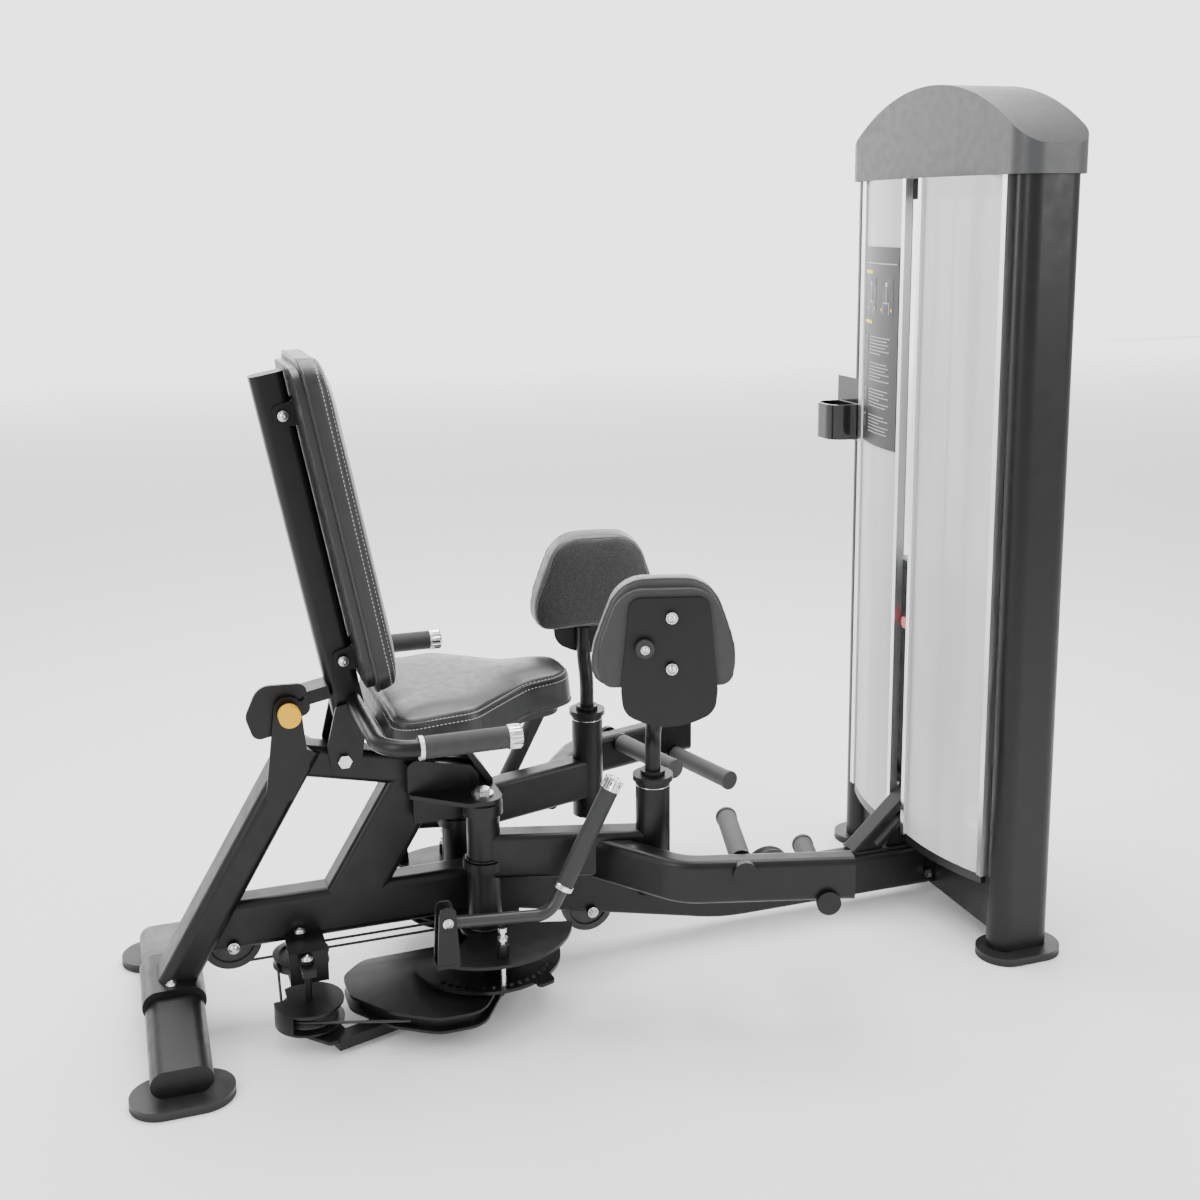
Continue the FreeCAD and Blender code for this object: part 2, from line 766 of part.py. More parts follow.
def pivot_carrier(beam_room):
    bottom = val("carrier_bottom")
    top = bottom + val("carrier_thickness")
    y = PIVOT_Y
    outline = [(-353, -66), (-262, -y - 38), (-196, -y - 38), (-196, y + 38), (-262, y + 38), (-353, 66)]
    holes = [(PIVOT_X, side * y, val("shaft_diameter")) for side in (-1, 1)]
    upper = plate(outline, [16, 30, 30, 30, 30, 16], "carrier_thickness", (0, 0, bottom), None, holes)
    pieces = [upper]
    for y_low in (-60, 54):
        side = [(-354, top), (-224, top), (-224, 412), (-238, 430), (-340, 452), (-354, 442)]
        pieces.append(upright_plate(side, [0, 0, 6, 8, 10, 10], y_low, y_low + 6))
    pieces.append(box((6, 108, 50), (-354, -54, top)))
    pieces.append(box((6, 108, 22), (-230, -54, top)))
    for y_low in (-60, 54):
        pieces.append(box((114, 6, 50), (-345, y_low, bottom - 50)))
    pieces.append(box((102, 108, 6), (-339, -54, bottom - 50)))
    gusset = [(-252, 462), (-206, top), (-196, top), (-196, top + 6), (-246, 470)]
    pieces.append(upright_plate(gusset, 0, -52, 52))
    node("pivot_carrier", cut(join(*pieces), beam_room))


def pivot_base(base_solid):
    """The low plate that carries both shafts, its post, and the diagonal bar."""
    y = PIVOT_Y
    outline = [
        (-264, -y - 34), (-196, -y - 34), (-196, -62), (-138, -36), (-138, 8), (-196, 40),
        (-196, y + 34), (-264, y + 34),
    ]
    holes = [(PIVOT_X, side * y, val("shaft_diameter")) for side in (-1, 1)]
    low = plate(outline, [30, 30, 20, 10, 10, 20, 30, 30], 22, (0, 0, 10), None, holes)
    post = cut(box((35, 30, 120), (-180, -30, 32)), base_solid)
    start = Vector(-250, -111, 0)
    finish = Vector(-514, -195, 0)
    run = finish - start
    bar_turn = about((0, 0, 1), math.degrees(math.atan2(run.y, run.x)))
    bar = box((run.Length + 10, 30, 20), (start.x, start.y + 15, 10), bar_turn)
    outline = [(-590, -150), (-590, -118), (-520, -118), (-490, -200), (-530, -214)]
    end_plate = plate(outline, 10, 6, (0, 0, 24))
    node("pivot_base", join(low, post, bar, end_plate))


feet()
BASE_SOLID, BEAM_ROOM = frame()
pivot_carrier(BEAM_ROOM)
pivot_base(BASE_SOLID)


def pivot_shafts():
    bottom = 12
    top = val("carrier_bottom") + val("carrier_thickness")
    length = top - bottom
    rods = [rod("shaft_diameter", length, (PIVOT_X, side * PIVOT_Y, bottom)) for side in (-1, 1)]
    node("pivot_shafts", several(*rods))


def seat():
    outline = [
        (-405, -198), (-250, -192), (-128, -88), (-33, -70), (-33, 70), (-128, 88), (-250, 192), (-405, 198),
    ]
    board = [
        (-390, -180), (-256, -172), (-138, -74), (-62, -52), (-62, 52), (-138, 74), (-256, 172), (-390, 180),
    ]
    radii = [45, 60, 60, 62, 62, 60, 60, 45]
    board_radii = [35, 50, 60, 45, 45, 60, 50, 35]
    bottom = 505
    node("seat_board", plate(board, board_radii, "board_thickness", (0, 0, bottom)))
    low = bottom + val("board_thickness")
    cushion = plate(outline, radii, 74, (0, 0, low))
    slope = 2.6
    above = box((500, 500, 60), (-30, 250, 591.5), about((0, 0, 1), 180).multiply(about((0, 1, 0), slope)))
    node("seat_pad", cut(cushion, above))


pivot_shafts()
seat()

# ---------------------------------------------------------------- weight tower

def circle_through(first, second, third):
    """Centre and radius of the circle through three points of the plane."""
    circle = Part.Arc(Vector(*first, 0), Vector(*second, 0), Vector(*third, 0)).toShape().Curve
    return circle.Center.x, circle.Center.y, circle.Radius


PANEL_X, PANEL_Y, PANEL_RADIUS = circle_through((716, -255), (683, -140), (678, -25))


def bowed_panel(y_from, y_to, bottom, top, ahead=0.0, thickness=3.0):
    """A curved sheet on the right half of the tower's front; ahead moves it outwards."""
    body = add("PartDesign::Body", "BowedPanel")
    sketch = sketch_on(body, "XY_Plane")
    corners = []
    for radius in (PANEL_RADIUS + ahead, PANEL_RADIUS + ahead - thickness):
        row = []
        for y in (y_from, (y_from + y_to) / 2, y_to):
            x = PANEL_X - math.sqrt(radius ** 2 - (y - PANEL_Y) ** 2)
            row.append(Vector(x, y, 0))
        corners.append(row)
    outer, inner = corners
    sketch.addGeometry(Part.Arc(*outer), False)
    sketch.addGeometry(Part.LineSegment(outer[2], inner[2]), False)
    sketch.addGeometry(Part.Arc(inner[2], inner[1], inner[0]), False)
    sketch.addGeometry(Part.LineSegment(inner[0], outer[0]), False)
    pad(body, sketch, top - bottom)
    return place(body, (0, 0, bottom))


def upright(x, y, bottom, length, wall=True):
    """A flat oval tube that stands up."""
    outer = oblong_plate("upright_depth", "upright_width", length, (x, y, bottom))
    if not wall:
        return outer
    size = "-2*wall"
    inner = oblong_plate("upright_depth" + size, "upright_width" + size, length, (x, y, bottom))
    return cut(outer, inner)


def tower():
    y = val("upright_y")
    height = val("upright_top") - FOOT_TOP
    tubes = [upright(TOWER_X, side * y, FOOT_TOP, height) for side in (-1, 1)]
    filled = [upright(TOWER_X, side * y, FOOT_TOP, height, wall=False) for side in (-1, 1)]
    node("tower_uprights", several(*tubes))

    low = val("beam_bottom")
    high = val("beam_top")
    front = val("base_front")
    shell = box((100, 530, high - low), (front, -265, low))
    hollow = box((100 - 2 * WALL, 540, high - low - 2 * WALL), (front + WALL, -270, low + WALL))
    cable_x = TOWER_PULLEY[0] + TOWER_PULLEY[2]
    cable_z = TOWER_PULLEY[1] - TOWER_PULLEY[2]
    holes = [
        rod(16, 20, (cable_x, 0, high - 10)),
        rod(16, 20, (front - 10, 0, cable_z), (1, 0, 0)),
        rod("axle_diameter", 80, (TOWER_PULLEY[0], 40, TOWER_PULLEY[1]), (0, -1, 0)),
    ]
    beam = cut(shell, hollow, *holes)
    cheeks = []
    for side in (-1, 1):
        cheeks.append(box((40, CHEEK, 70), (TOWER_PULLEY[0] - 20, side * CHEEK_Y - CHEEK / 2, low + WALL)))
    cheeks = [cut(cheek, holes[2]) for cheek in cheeks]
    guide_x = TOWER_X - 10
    stops = []
    for side in (-1, 1):
        stops.append(rod(44, 227 - high, (guide_x, side * val("guide_y"), high)))
    shelf = box((112, 220, 23), (706, -110, 227))
    guides = [rod("guide_diameter", 240, (guide_x, side * val("guide_y"), 60)) for side in (-1, 1)]
    rod_room = rod(30, 60, (guide_x, 0, 210))
    strut_turn = about((0, 1, 0), 47.3)
    strut = straight_tube("44", "44", 186, 4, "wall", (580, 0, 106), strut_turn)
    strut_slot = box((18, 60, 96), (0, -30, 0))
    place(strut_slot, (606, -30, 140), strut_turn)
    rib = upright_plate([(640, 116), (733, 116), (733, 231), (700, 231)], 0, -19, -13)
    foot = box((140, 52, 6), (566, -26, 116))
    flange = box((6, 100, 96), (731, -50, 44))
    welded = join(beam, *cheeks, *stops, shelf, cut(strut, strut_slot), rib, foot, flange)
    node("tower_base_beam", cut(welded, *filled, *guides, rod_room, BASE_SOLID, holes[0], holes[1]))
    head_low = 1430
    head_high = val("cover_bottom")
    top_shell = box((80, 530, head_high - head_low), (TOWER_X - 40, -265, head_low))
    top_hollow = box((74, 540, head_high - head_low - 6), (TOWER_X - 37, -270, head_low + 3))
    bracket = []
    for side in (-1, 1):
        outline = [(-30, head_high), (30, head_high), (18, 1522), (-18, 1522)]
        outline = [(TOP_PULLEY[0] + x, z) for x, z in outline]
        y = side * CHEEK_Y
        bracket.append(upright_plate(outline, [0, 0, 10, 10], y - CHEEK / 2, y + CHEEK / 2))
    top_axle = rod("axle_diameter", 80, (TOP_PULLEY[0], 40, TOP_PULLEY[1]), (0, -1, 0))
    openings = [
        rod(18, 80, (guide_x, 0, head_low - 10)),
        rod(2 * (TOP_PULLEY[2] + 11), 26, (TOP_PULLEY[0], 13, TOP_PULLEY[1]), (0, -1, 0)),
        top_axle,
    ]
    top_guides = [rod("guide_diameter", 30, (guide_x, side * val("guide_y"), 1413)) for side in (-1, 1)]
    head = join(cut(top_shell, top_hollow), *bracket)
    node("tower_top_beam", cut(head, *filled, *openings, *top_guides))
    return guide_x


def arch(half_width, side_top, peak, bottom, depth, corner, x):
    """The cover's outer form: an arched front, rounded corners seen from above."""
    body = add("PartDesign::Body", "Arch")
    sketch = sketch_on(body, "YZ_Plane")
    left = Vector(half_width, side_top, 0)
    right = Vector(-half_width, side_top, 0)
    foot_left = Vector(half_width, bottom, 0)
    foot_right = Vector(-half_width, bottom, 0)
    sketch.addGeometry(Part.LineSegment(foot_right, foot_left), False)
    sketch.addGeometry(Part.LineSegment(foot_left, left), False)
    sketch.addGeometry(Part.Arc(left, Vector(0, peak, 0), right), False)
    sketch.addGeometry(Part.LineSegment(right, foot_right), False)
    pad(body, sketch, depth, both_ways=True)
    place(body, (x, 0, 0))
    half = depth / 2
    plan = [(-half, -half_width), (half, -half_width), (half, half_width), (-half, half_width)]
    column = plate(plan, corner, 400, (x, 0, bottom - 5))
    return common(body, column)


def top_cover():
    skin = 4
    half = val("cover_half_width")
    depth = val("cover_depth")
    low = val("cover_bottom")
    side_top = val("cover_side_top")
    peak = val("cover_peak")
    outer = arch(half, side_top, peak, low, depth, 45, TOWER_X)
    inner = arch(half - skin, side_top - 1, peak - skin, low - 5, depth - 2 * skin, 41, TOWER_X)
    vent = rod(12, 60, (TOWER_X - 20, 0, peak - 30))
    vent_end = rod(12, 60, (TOWER_X + 20, 0, peak - 30))
    vent_middle = box((40, 12, 60), (TOWER_X - 20, -6, peak - 30))
    node("top_cover", cut(outer, inner, vent, vent_end, vent_middle))


def shrouds():
    low = val("shroud_bottom")
    high = val("cover_bottom")
    right = bowed_panel(-252, -27, low, high)
    node("shroud_right", right)
    node("shroud_left", mirrored(right))
    back = plate([(833, -246), (836, -246), (836, 246), (833, 246)], 0, high - low, (0, 0, low))
    node("shroud_rear", back)
    strips = []
    edge_room = bowed_panel(-252, -27, low - 5, high + 5, ahead=0.0, thickness=3.0)
    for x, y, size_x, size_y in ((707, -258, 18, 14), (670, -35, 16, 12)):
        strips.append(cut(box((size_x, size_y, high - low), (x, y, low)), edge_room))
    strips.append(bowed_panel(-250, -30, low - 18, low - 1, ahead=0.0, thickness=10.0))
    pair = several(*strips)
    node("shroud_profiles", several(pair, mirrored(pair)))


def weight_stack(guide_x):
    """The plates that stay down, the plates on the pin, and the rod through them."""
    pitch = val("plate_pitch")
    thick = pitch - val("plate_gap")
    top_low = val("top_plate_bottom")
    half = val("plate_width") / 2
    front = guide_x - 45
    back = front + val("plate_depth")
    outline = [(front, -half), (back, -half), (back, half), (front, half)]
    holes = [(guide_x, 0, 26)]
    for side in (-1, 1):
        holes.append((guide_x, side * val("guide_y"), val("guide_bore")))
    groups = {"lifted": [], "resting": []}
    for number in range(int(val("plate_count"))):
        z = top_low - pitch * (number + 1)
        slab = plate(outline, 6, thick, (0, 0, z), None, holes)
        pin_hole = rod(10, guide_x - front + 14, (front - 1, 0, z + thick / 2), (1, 0, 0))
        group = "lifted" if number < val("lifted_count") else "resting"
        groups[group].append(cut(slab, pin_hole))
    head_holes = [(guide_x, 0, val("selector_diameter"))] + holes[1:]
    head = plate(outline, 8, 23, (0, 0, top_low), None, head_holes)
    node("lifted_plates", several(head, *groups["lifted"]))
    node("resting_plates", several(*groups["resting"]))

    rod_low = 262
    stem = rod("selector_diameter", 730 - rod_low, (guide_x, 0, rod_low))
    cap = rod(34, 18, (guide_x, 0, 700))
    eye = rod(14, 28, (guide_x, 0, 730))
    pin_holes = []
    for number in range(int(val("plate_count"))):
        z = top_low - pitch * (number + 1) + thick / 2
        pin_holes.append(rod(10, 30, (guide_x - 15, 0, z), (1, 0, 0)))
    node("selector_rod", cut(join(stem, cap, eye), *pin_holes))

    pin_z = top_low - pitch * val("lifted_count") + thick / 2
    shank = rod(9.84, guide_x + 8 - (front - 8), (front - 8, 0, pin_z), (1, 0, 0))
    knob = rod(24, 34, (front - 42, 0, pin_z), (1, 0, 0))
    collar = rod(30, 6, (front - 14, 0, pin_z), (1, 0, 0))
    node("selector_pin", join(shank, knob, collar))

    length = 1443 - 60
    guides = [rod("guide_diameter", length, (guide_x, side * val("guide_y"), 60)) for side in (-1, 1)]
    node("guide_rods", several(*guides))


def bottle_holder():
    front = TOWER_X - val("upright_depth") / 2
    near, far = 262, 356
    reach = 68
    back = box((6, far - near, 135), (front - 6, near, 920))
    outline = [(front - reach, near), (front, near), (front, far), (front - reach, far)]
    cup = plate(outline, [34, 0, 0, 34], 75, (0, 0, 925))
    room = [
        (front - reach + 4, near + 4), (front - 10, near + 4), (front - 10, far - 4),
        (front - reach + 4, far - 4),
    ]
    node("bottle_holder", cut(join(back, cup), plate(room, [30, 4, 4, 30], 80, (0, 0, 930))))


def placard():
    """A thin instruction plate on the left panel, with nothing printed on it."""
    sheet_plate = bowed_panel(-232, -48, 930, 1336, ahead=1.6, thickness=1.5)
    node("placard", mirrored(sheet_plate))


GUIDE_X = tower()
top_cover()
shrouds()
weight_stack(GUIDE_X)
bottle_holder()
placard()

# ---------------------------------------------------------------- pulleys and cables

def pulleys():
    across = (0, 1, 0)
    vertical = {
        "rear_pulley": REAR_PULLEY,
        "middle_pulley": MIDDLE_PULLEY,
        "front_pulley": FRONT_PULLEY,
        "tower_base_pulley": TOWER_PULLEY,
        "top_pulley": TOP_PULLEY,
    }
    for name, (x, z, radius) in vertical.items():
        node(name, pulley(radius, (x, 0, z), across))
    for name, (x, y, z, radius) in (("lower_side_pulley", LOWER_SIDE), ("upper_side_pulley", UPPER_SIDE)):
        node(name, pulley(radius, (x, y, z), (0, 0, 1)))

    axles = []
    in_tube = [(place_in, HALF_TUBE) for place_in in (REAR_PULLEY, MIDDLE_PULLEY, FRONT_PULLEY)]
    in_cheeks = [(place_in, CHEEK_Y + CHEEK / 2) for place_in in (TOWER_PULLEY, TOP_PULLEY)]
    for (x, z, radius), face in in_tube + in_cheeks:
        half = face + 0.2
        axles.append(rod("axle_diameter", 2 * half, (x, half, z), (0, -1, 0)))
        for side in (-1, 1):
            axles.append(hexagon(19, 8, (x, side * half, z), (0, side, 0)))
    return axles


def pulley_brackets(base_solid, axles):
    """The two side pulleys' housings, and the bolts on which all pulleys turn."""
    x = UPPER_SIDE[0]
    top = box((67, 78, 6), (x - 27, -108, 140))
    face = box((67, 5, 58), (x - 27, -108, 88))
    floor = box((67, 88, 6), (x - 27, -108, 88))
    inner = rod("axle_diameter", 66, (x, UPPER_SIDE[1], 88))
    inner_nut = hexagon(19, 8, (x, UPPER_SIDE[1], 146))
    reach = box((24, 62, 12), (x - 12, -166, 128))
    outer = rod("axle_diameter", 116, (x, LOWER_SIDE[1], 30))
    outer_nut = hexagon(19, 8, (x, LOWER_SIDE[1], 140))
    pieces = [top, face, floor, inner, inner_nut, reach, outer, outer_nut]
    cable_notch = box((26, 62, 12), (x - 62, -128, 66))
    for z in (36, 70):
        pieces.append(cut(rod(120, 4, (x, LOWER_SIDE[1], z)), cable_notch))
    ring = cut(rod(120, 30, (x, LOWER_SIDE[1], 40)), rod(112, 30, (x, LOWER_SIDE[1], 40)))
    sector = [(0, 0), (-100, 27), (-120, -30), (-70, -100)]
    wedge = plate(sector, 0, 30, (x, LOWER_SIDE[1], 40))
    pieces.append(common(ring, wedge))
    spacer_low = rod(24, 6, (x, LOWER_SIDE[1], 30))
    pieces.append(spacer_low)
    node("pulley_brackets", join(cut(join(*pieces), base_solid), *axles))


def cables():
    drum = val("drum_cable_radius")
    low = val("cable_low")
    wrap = 60
    centre = Vector(PIVOT_X, PIVOT_Y, 0)

    def drum_arc(z):
        """From the drum's anchor back to where the cable leaves for the rear pulley."""
        axis = centre + Vector(0, 0, z)
        tangent = Vector(PIVOT_X, PIVOT_Y - drum, z)
        anchor = axis + about((0, 0, 1), wrap).multVec(tangent - axis)
        return arc_between(axis, anchor, -wrap, Vector(0, 0, 1))

    stops = [
        (PIVOT_X, low, 0.0, 1),
        REAR_PULLEY + (-1,),
        MIDDLE_PULLEY + (-1,),
        FRONT_PULLEY + (1,),
        TOWER_PULLEY + (1,),
        TOP_PULLEY + (1,),
        (GUIDE_X, 1490.0, 0.0, 1),
    ]
    cable("main_cable", [drum_arc(low)] + belt(stops), CABLE)

    lift_top = TOP_PULLEY[1] - 10.5
    lift = rod("cable_diameter", lift_top - 758, (GUIDE_X, 0, 758))
    node("lift_cable", lift)

    x, y, z, radius = LOWER_SIDE
    far_x = x - radius
    inner_y = UPPER_SIDE[1] + radius
    route = [
        (-396.0, -233.0, z),
        (far_x, -169.4, z),
        (far_x, -108.0, z),
        (far_x, -73.0, SYNC_Z),
        (far_x, inner_y, SYNC_Z),
        (PIVOT_X, inner_y, SYNC_Z),
    ]
    bends = [radius, 12.0, 12.0, radius]
    last = Vector(*route[-1])
    anchor = centre + Vector(0, 0, SYNC_Z) + about((0, 0, 1), wrap).multVec(Vector(0, -drum, 0))
    wrap_arc = arc_between(centre + Vector(0, 0, SYNC_Z), last, wrap, Vector(0, 0, 1))
    print("sync cable ends %.0f mm from its anchor" % wrap_arc.Vertexes[-1].Point.distanceToPoint(anchor))
    cable("sync_cable", rounded_run(route, bends) + [wrap_arc], CABLE)


AXLES = pulleys()
pulley_brackets(BASE_SOLID, AXLES)
cables()

# ---------------------------------------------------------------- cams

def cam_outline(inset):
    """The spiral cam seen from above, counted from its pivot."""
    outer = [
        (34, -34), (34, 34), (-70, 84), (-214, 80), (-257, 34), (-256, -38), (-196, -118), (-124, -165),
        (-46, -165),
    ]
    middle = (-110, -40)
    points = []
    for x, y in outer:
        away = math.hypot(x - middle[0], y - middle[1])
        share = (away - inset) / away
        points.append((middle[0] + (x - middle[0]) * share, middle[1] + (y - middle[1]) * share))
    return points


CAM_ROUNDING = [26, 26, 34, 42, 46, 55, 70, 60, 50]


def range_plate():
    """The drilled plate that takes the pull-pin, with its inner side cut off."""
    radius = val("range_radius")
    disc = rod("range_radius*2", 6, (0, 0, 77))
    ear = plate([(55, -100), (90, -100), (92, -128), (60, -140)], 8, 6, (0, 0, 77))
    inner = box((2 * radius, radius, 10), (-radius, 20, 75))
    holes = []
    for step in range(-7, 8):
        angle = 270 + 7.5 * step
        holes.append(rod(11, 10, (121 * cos(angle), 121 * sin(angle), 75)))
    return cut(join(disc, ear), inner, *holes)


def cams():
    low = 40
    flange = val("cam_flange")
    core_height = val("pulley_width")
    outline = cam_outline(0)
    lower = plate(outline, CAM_ROUNDING, "cam_flange", (0, 0, low))
    upper = plate(outline, CAM_ROUNDING, "cam_flange", (0, 0, low + flange + core_height))
    core_rounding = [radius - 8 for radius in CAM_ROUNDING]
    core = plate(cam_outline(16), core_rounding, "pulley_width", (0, 0, low + flange))
    hub = rod(62, 97, (0, 0, 37))
    bore = rod("shaft_bore", 140, (0, 0, 20))
    right = cut(join(lower, core, upper, hub, range_plate()), bore)
    right.Placement = Placement(Vector(PIVOT_X, -PIVOT_Y, 0), Rotation())
    node("right_cam", right)

    rim = val("drum_radius")
    floor = val("drum_cable_radius") - CABLE / 2 - 0.4
    inner = val("shaft_bore") / 2
    profile = [
        (inner, 37), (31, 37), (31, 86), (rim, 86), (rim, 88), (floor, 90), (floor, 96.5), (rim, 98.5),
        (rim, 101.5), (floor, 103.5), (floor, 110.5), (rim, 112.5), (rim, 114), (31, 114), (31, 134),
        (inner, 134),
    ]
    body = add("PartDesign::Body", "Drum")
    sketch = sketch_on(body, "XZ_Plane")
    draw_outline(sketch, profile, 0)
    turned = body.newObject("PartDesign::Revolution", "Turned")
    turned.Profile = sketch
    turned.ReferenceAxis = (sketch, ["V_Axis"])
    turned.Angle = 360
    body.Tip = turned
    left_plate = mirrored(cut(range_plate(), rod(40, 20, (0, 0, 70))))
    left = join(body, left_plate)
    left.Placement = Placement(Vector(PIVOT_X, PIVOT_Y, 0), Rotation())
    node("left_cam", left)


cams()

# ---------------------------------------------------------------- swinging arms

ARM_ANGLE = val("arm_angle")
RIGHT_ARM = Placement(Vector(PIVOT_X, -PIVOT_Y, 0), about((0, 0, 1), -ARM_ANGLE))
LEFT_ARM = Placement(Vector(PIVOT_X, PIVOT_Y, 0), about((0, 0, 1), ARM_ANGLE))
TO_ARM = RIGHT_ARM.inverse()


def both_sides(name, item, right=None, left=None):
    """A piece laid out along the right arm, and its mirror image on the left arm."""
    right_item = several(item)
    right_item.Placement = right or RIGHT_ARM
    node("right_" + name, right_item)
    left_item = mirrored(item)
    left_item.Placement = left or LEFT_ARM
    node("left_" + name, left_item)


def swing_arm():
    reach = val("arm_reach")
    plate_low = val("arm_plate_top") - val("arm_plate_thickness")
    hub = rod("arm_hub_diameter", 360 - plate_low, (0, 0, plate_low))
    collar = rod(76, 17, (0, 0, 254))
    cap = rod(72, 21, (0, 0, 357))
    disc = rod("arm_plate_radius*2", "arm_plate_thickness", (0, 0, plate_low))
    first = 223 + ARM_ANGLE
    last = 345 + ARM_ANGLE
    fan = [(0, 0)]
    for angle in (first, (first + last) / 2 - 20, (first + last) / 2 + 20, last):
        fan.append((400 * cos(angle), 400 * sin(angle)))
    half_plate = common(disc, plate(fan, 0, 6, (0, 0, plate_low)))
    boss = rod(92, "arm_plate_thickness", (0, 0, plate_low))

    along = about((0, 1, 0), 90)
    mid = val("arm_beam_bottom") + val("arm_beam_height") / 2
    beam = straight_tube("arm_beam_height", "arm_beam_width", reach - 30, 10, "wall", (15, 0, mid), along)
    beam_solid = straight_tube("arm_beam_height", "arm_beam_width", reach, 10, None, (0, 0, mid), along)
    pad_hub = rod("pad_hub_diameter", "pad_hub_top-pad_hub_bottom", (reach, 0, val("pad_hub_bottom")))
    pad_cap = rod(72, 10, (reach, 0, val("pad_hub_top")))

    bend = 90
    turn = 38
    offset = val("foot_tube_offset")
    start_x = 205
    first_run = (offset - bend * (1 - cos(turn))) / sin(turn)
    bend_end = start_x + first_run * cos(turn) + bend * sin(turn)
    last_run = val("foot_tube_end") - bend_end
    steps = [("line", first_run), ("arc", bend, turn), ("line", last_run)]
    section = rounded_section(val("foot_tube_width"), val("foot_tube_height"), 12, WALL)
    tube_z = 268.5
    foot = bent_tube(steps, section, (start_x, 0, tube_z), about((0, 0, 1), -turn))
    foot = cut(foot, beam_solid, rod("pad_hub_diameter", 300, (reach, 0, 180)))
    end_size = val("foot_tube_width")
    end_cap = straight_tube(
        "foot_tube_height", "foot_tube_width", 4, 11, None,
        (val("foot_tube_end"), -offset, tube_z), along,
    )
    pieces = [hub, collar, cap, half_plate, boss, beam, pad_hub, pad_cap, foot, end_cap]
    for s, z in ((452, 290), (597, 231)):
        outer = -offset - end_size / 2
        pieces.append(rod("peg_rod", -outer + 99, (s, outer, z), (0, 1, 0)))
        pieces.append(rod(42, 11, (s, outer - 10, z), (0, 1, 0)))
        pieces.append(rod(40, 5, (s, -offset + end_size / 2 - 1, z), (0, 1, 0)))

    foot_at = TO_ARM.multVec(Vector(-327, -220, val("arm_plate_top")))
    for side in (-1, 1):
        outline = [(-20, 0), (20, 0), (14, 108), (-14, 108)]
        cheek = upright_plate(outline, [0, 0, 10, 10], side * 15 - 2.5, side * 15 + 2.5)
        ride(Placement(foot_at, about((0, 0, 1), ARM_ANGLE)), cheek)
        pieces.append(cheek)
    floor_plate = plate([(-20, -18), (20, -18), (20, 18), (-20, 18)], 0, 6)
    ride(Placement(foot_at + Vector(0, 0, -1), about((0, 0, 1), ARM_ANGLE)), floor_plate)
    pin_bolt = rod(10, 44, (0, -22, 71.5), (0, 1, 0))
    ride(Placement(foot_at, about((0, 0, 1), ARM_ANGLE)), pin_bolt)
    barrel_at = TO_ARM.multVec(Vector(PIVOT_X, -PIVOT_Y - 121, 0))
    barrel = rod(22, 26, (barrel_at.x, barrel_at.y, plate_low))
    pieces += [floor_plate, pin_bolt, barrel]
    bores = [
        rod("shaft_bore", 400, (0, 0, 100)),
        rod("post_bore", 400, (reach, 0, 100)),
        rod(10.16, 60, (barrel_at.x, barrel_at.y, 120)),
    ]
    both_sides("arm", cut(join(*pieces), *bores))


def foot_rollers():
    inner_end = 96
    start = -val("foot_tube_offset") + val("foot_tube_width") / 2 + 4.3
    length = inner_end - start
    sleeves = []
    for s, z in ((452, 290), (597, 231)):
        sleeve = rod("roller_diameter", length, (s, start, z), (0, 1, 0))
        end = rod("roller_diameter+3", 7, (s, inner_end - 1, z), (0, 1, 0))
        bore = rod("peg_rod", length + 4, (s, start - 1, z), (0, 1, 0))
        bore_end = rod("peg_rod", inner_end + 3 - start, (s, start, z), (0, 1, 0))
        sleeves.append(cut(join(sleeve, end), bore, bore_end))
    both_sides("rollers", several(*sleeves))


def thigh_pads():
    reach = val("arm_reach")
    frame_turn = Rotation(Vector(0, 0, 1), Vector(0, -1, 0), Vector(1, 0, 0), "XYZ")
    steps = [("line", 262), ("arc", 60, 35), ("line", 12), ("arc", 60, -35), ("line", 40)]
    post = bent_tube(steps, round_section("post_diameter"), (reach, 0, 205), frame_turn)
    collar = rod(44, 8, (reach, 0, 421.4))
    lateral = 2 * 60 * (1 - cos(35)) + 12 * sin(35)
    face = -lateral - val("post_diameter") / 2
    outline = [(250, 548), (330, 512), (411, 548), (415, 590), (400, 756), (262, 756), (246, 590)]
    thick = val("pad_plate_thickness")
    steel = upright_plate(outline, [36, 130, 36, 40, 22, 22, 40], face - thick, face)
    bolts = [rod(16, 7, (334, face - thick - 7, z), (0, 1, 0)) for z in (631, 722)]
    bumper = rod(26, 16, (287, face - thick - 16, 669), (0, 1, 0))
    right_pad = RIGHT_ARM
    about_hub = Placement(Vector(reach, 0, 0), about((0, 0, 1), val("left_pad_turn")))
    left_pad = LEFT_ARM.multiply(about_hub).multiply(Placement(Vector(-reach, 0, 0), Rotation()))
    saddle = box((30, 12, 50), (reach - 15, face, 537))
    both_sides("pad_post", join(post, collar, steel, saddle, *bolts, bumper), right_pad, left_pad)

    board_face = face + val("pad_board_thickness")
    board = [(212, 596), (442, 596), (446, 660), (406, 770), (246, 770), (206, 660)]
    board_plate = upright_plate(board, [24, 24, 120, 58, 58, 120], face, board_face)
    both_sides("pad_board", board_plate, right_pad, left_pad)
    cushion = [(196, 592), (450, 592), (454, 655), (410, 788), (242, 788), (192, 655)]
    pad_face = board_face + val("thigh_pad_thickness")
    soft = upright_plate(cushion, [34, 34, 130, 70, 70, 130], board_face, pad_face)
    both_sides("thigh_pad", soft, right_pad, left_pad)


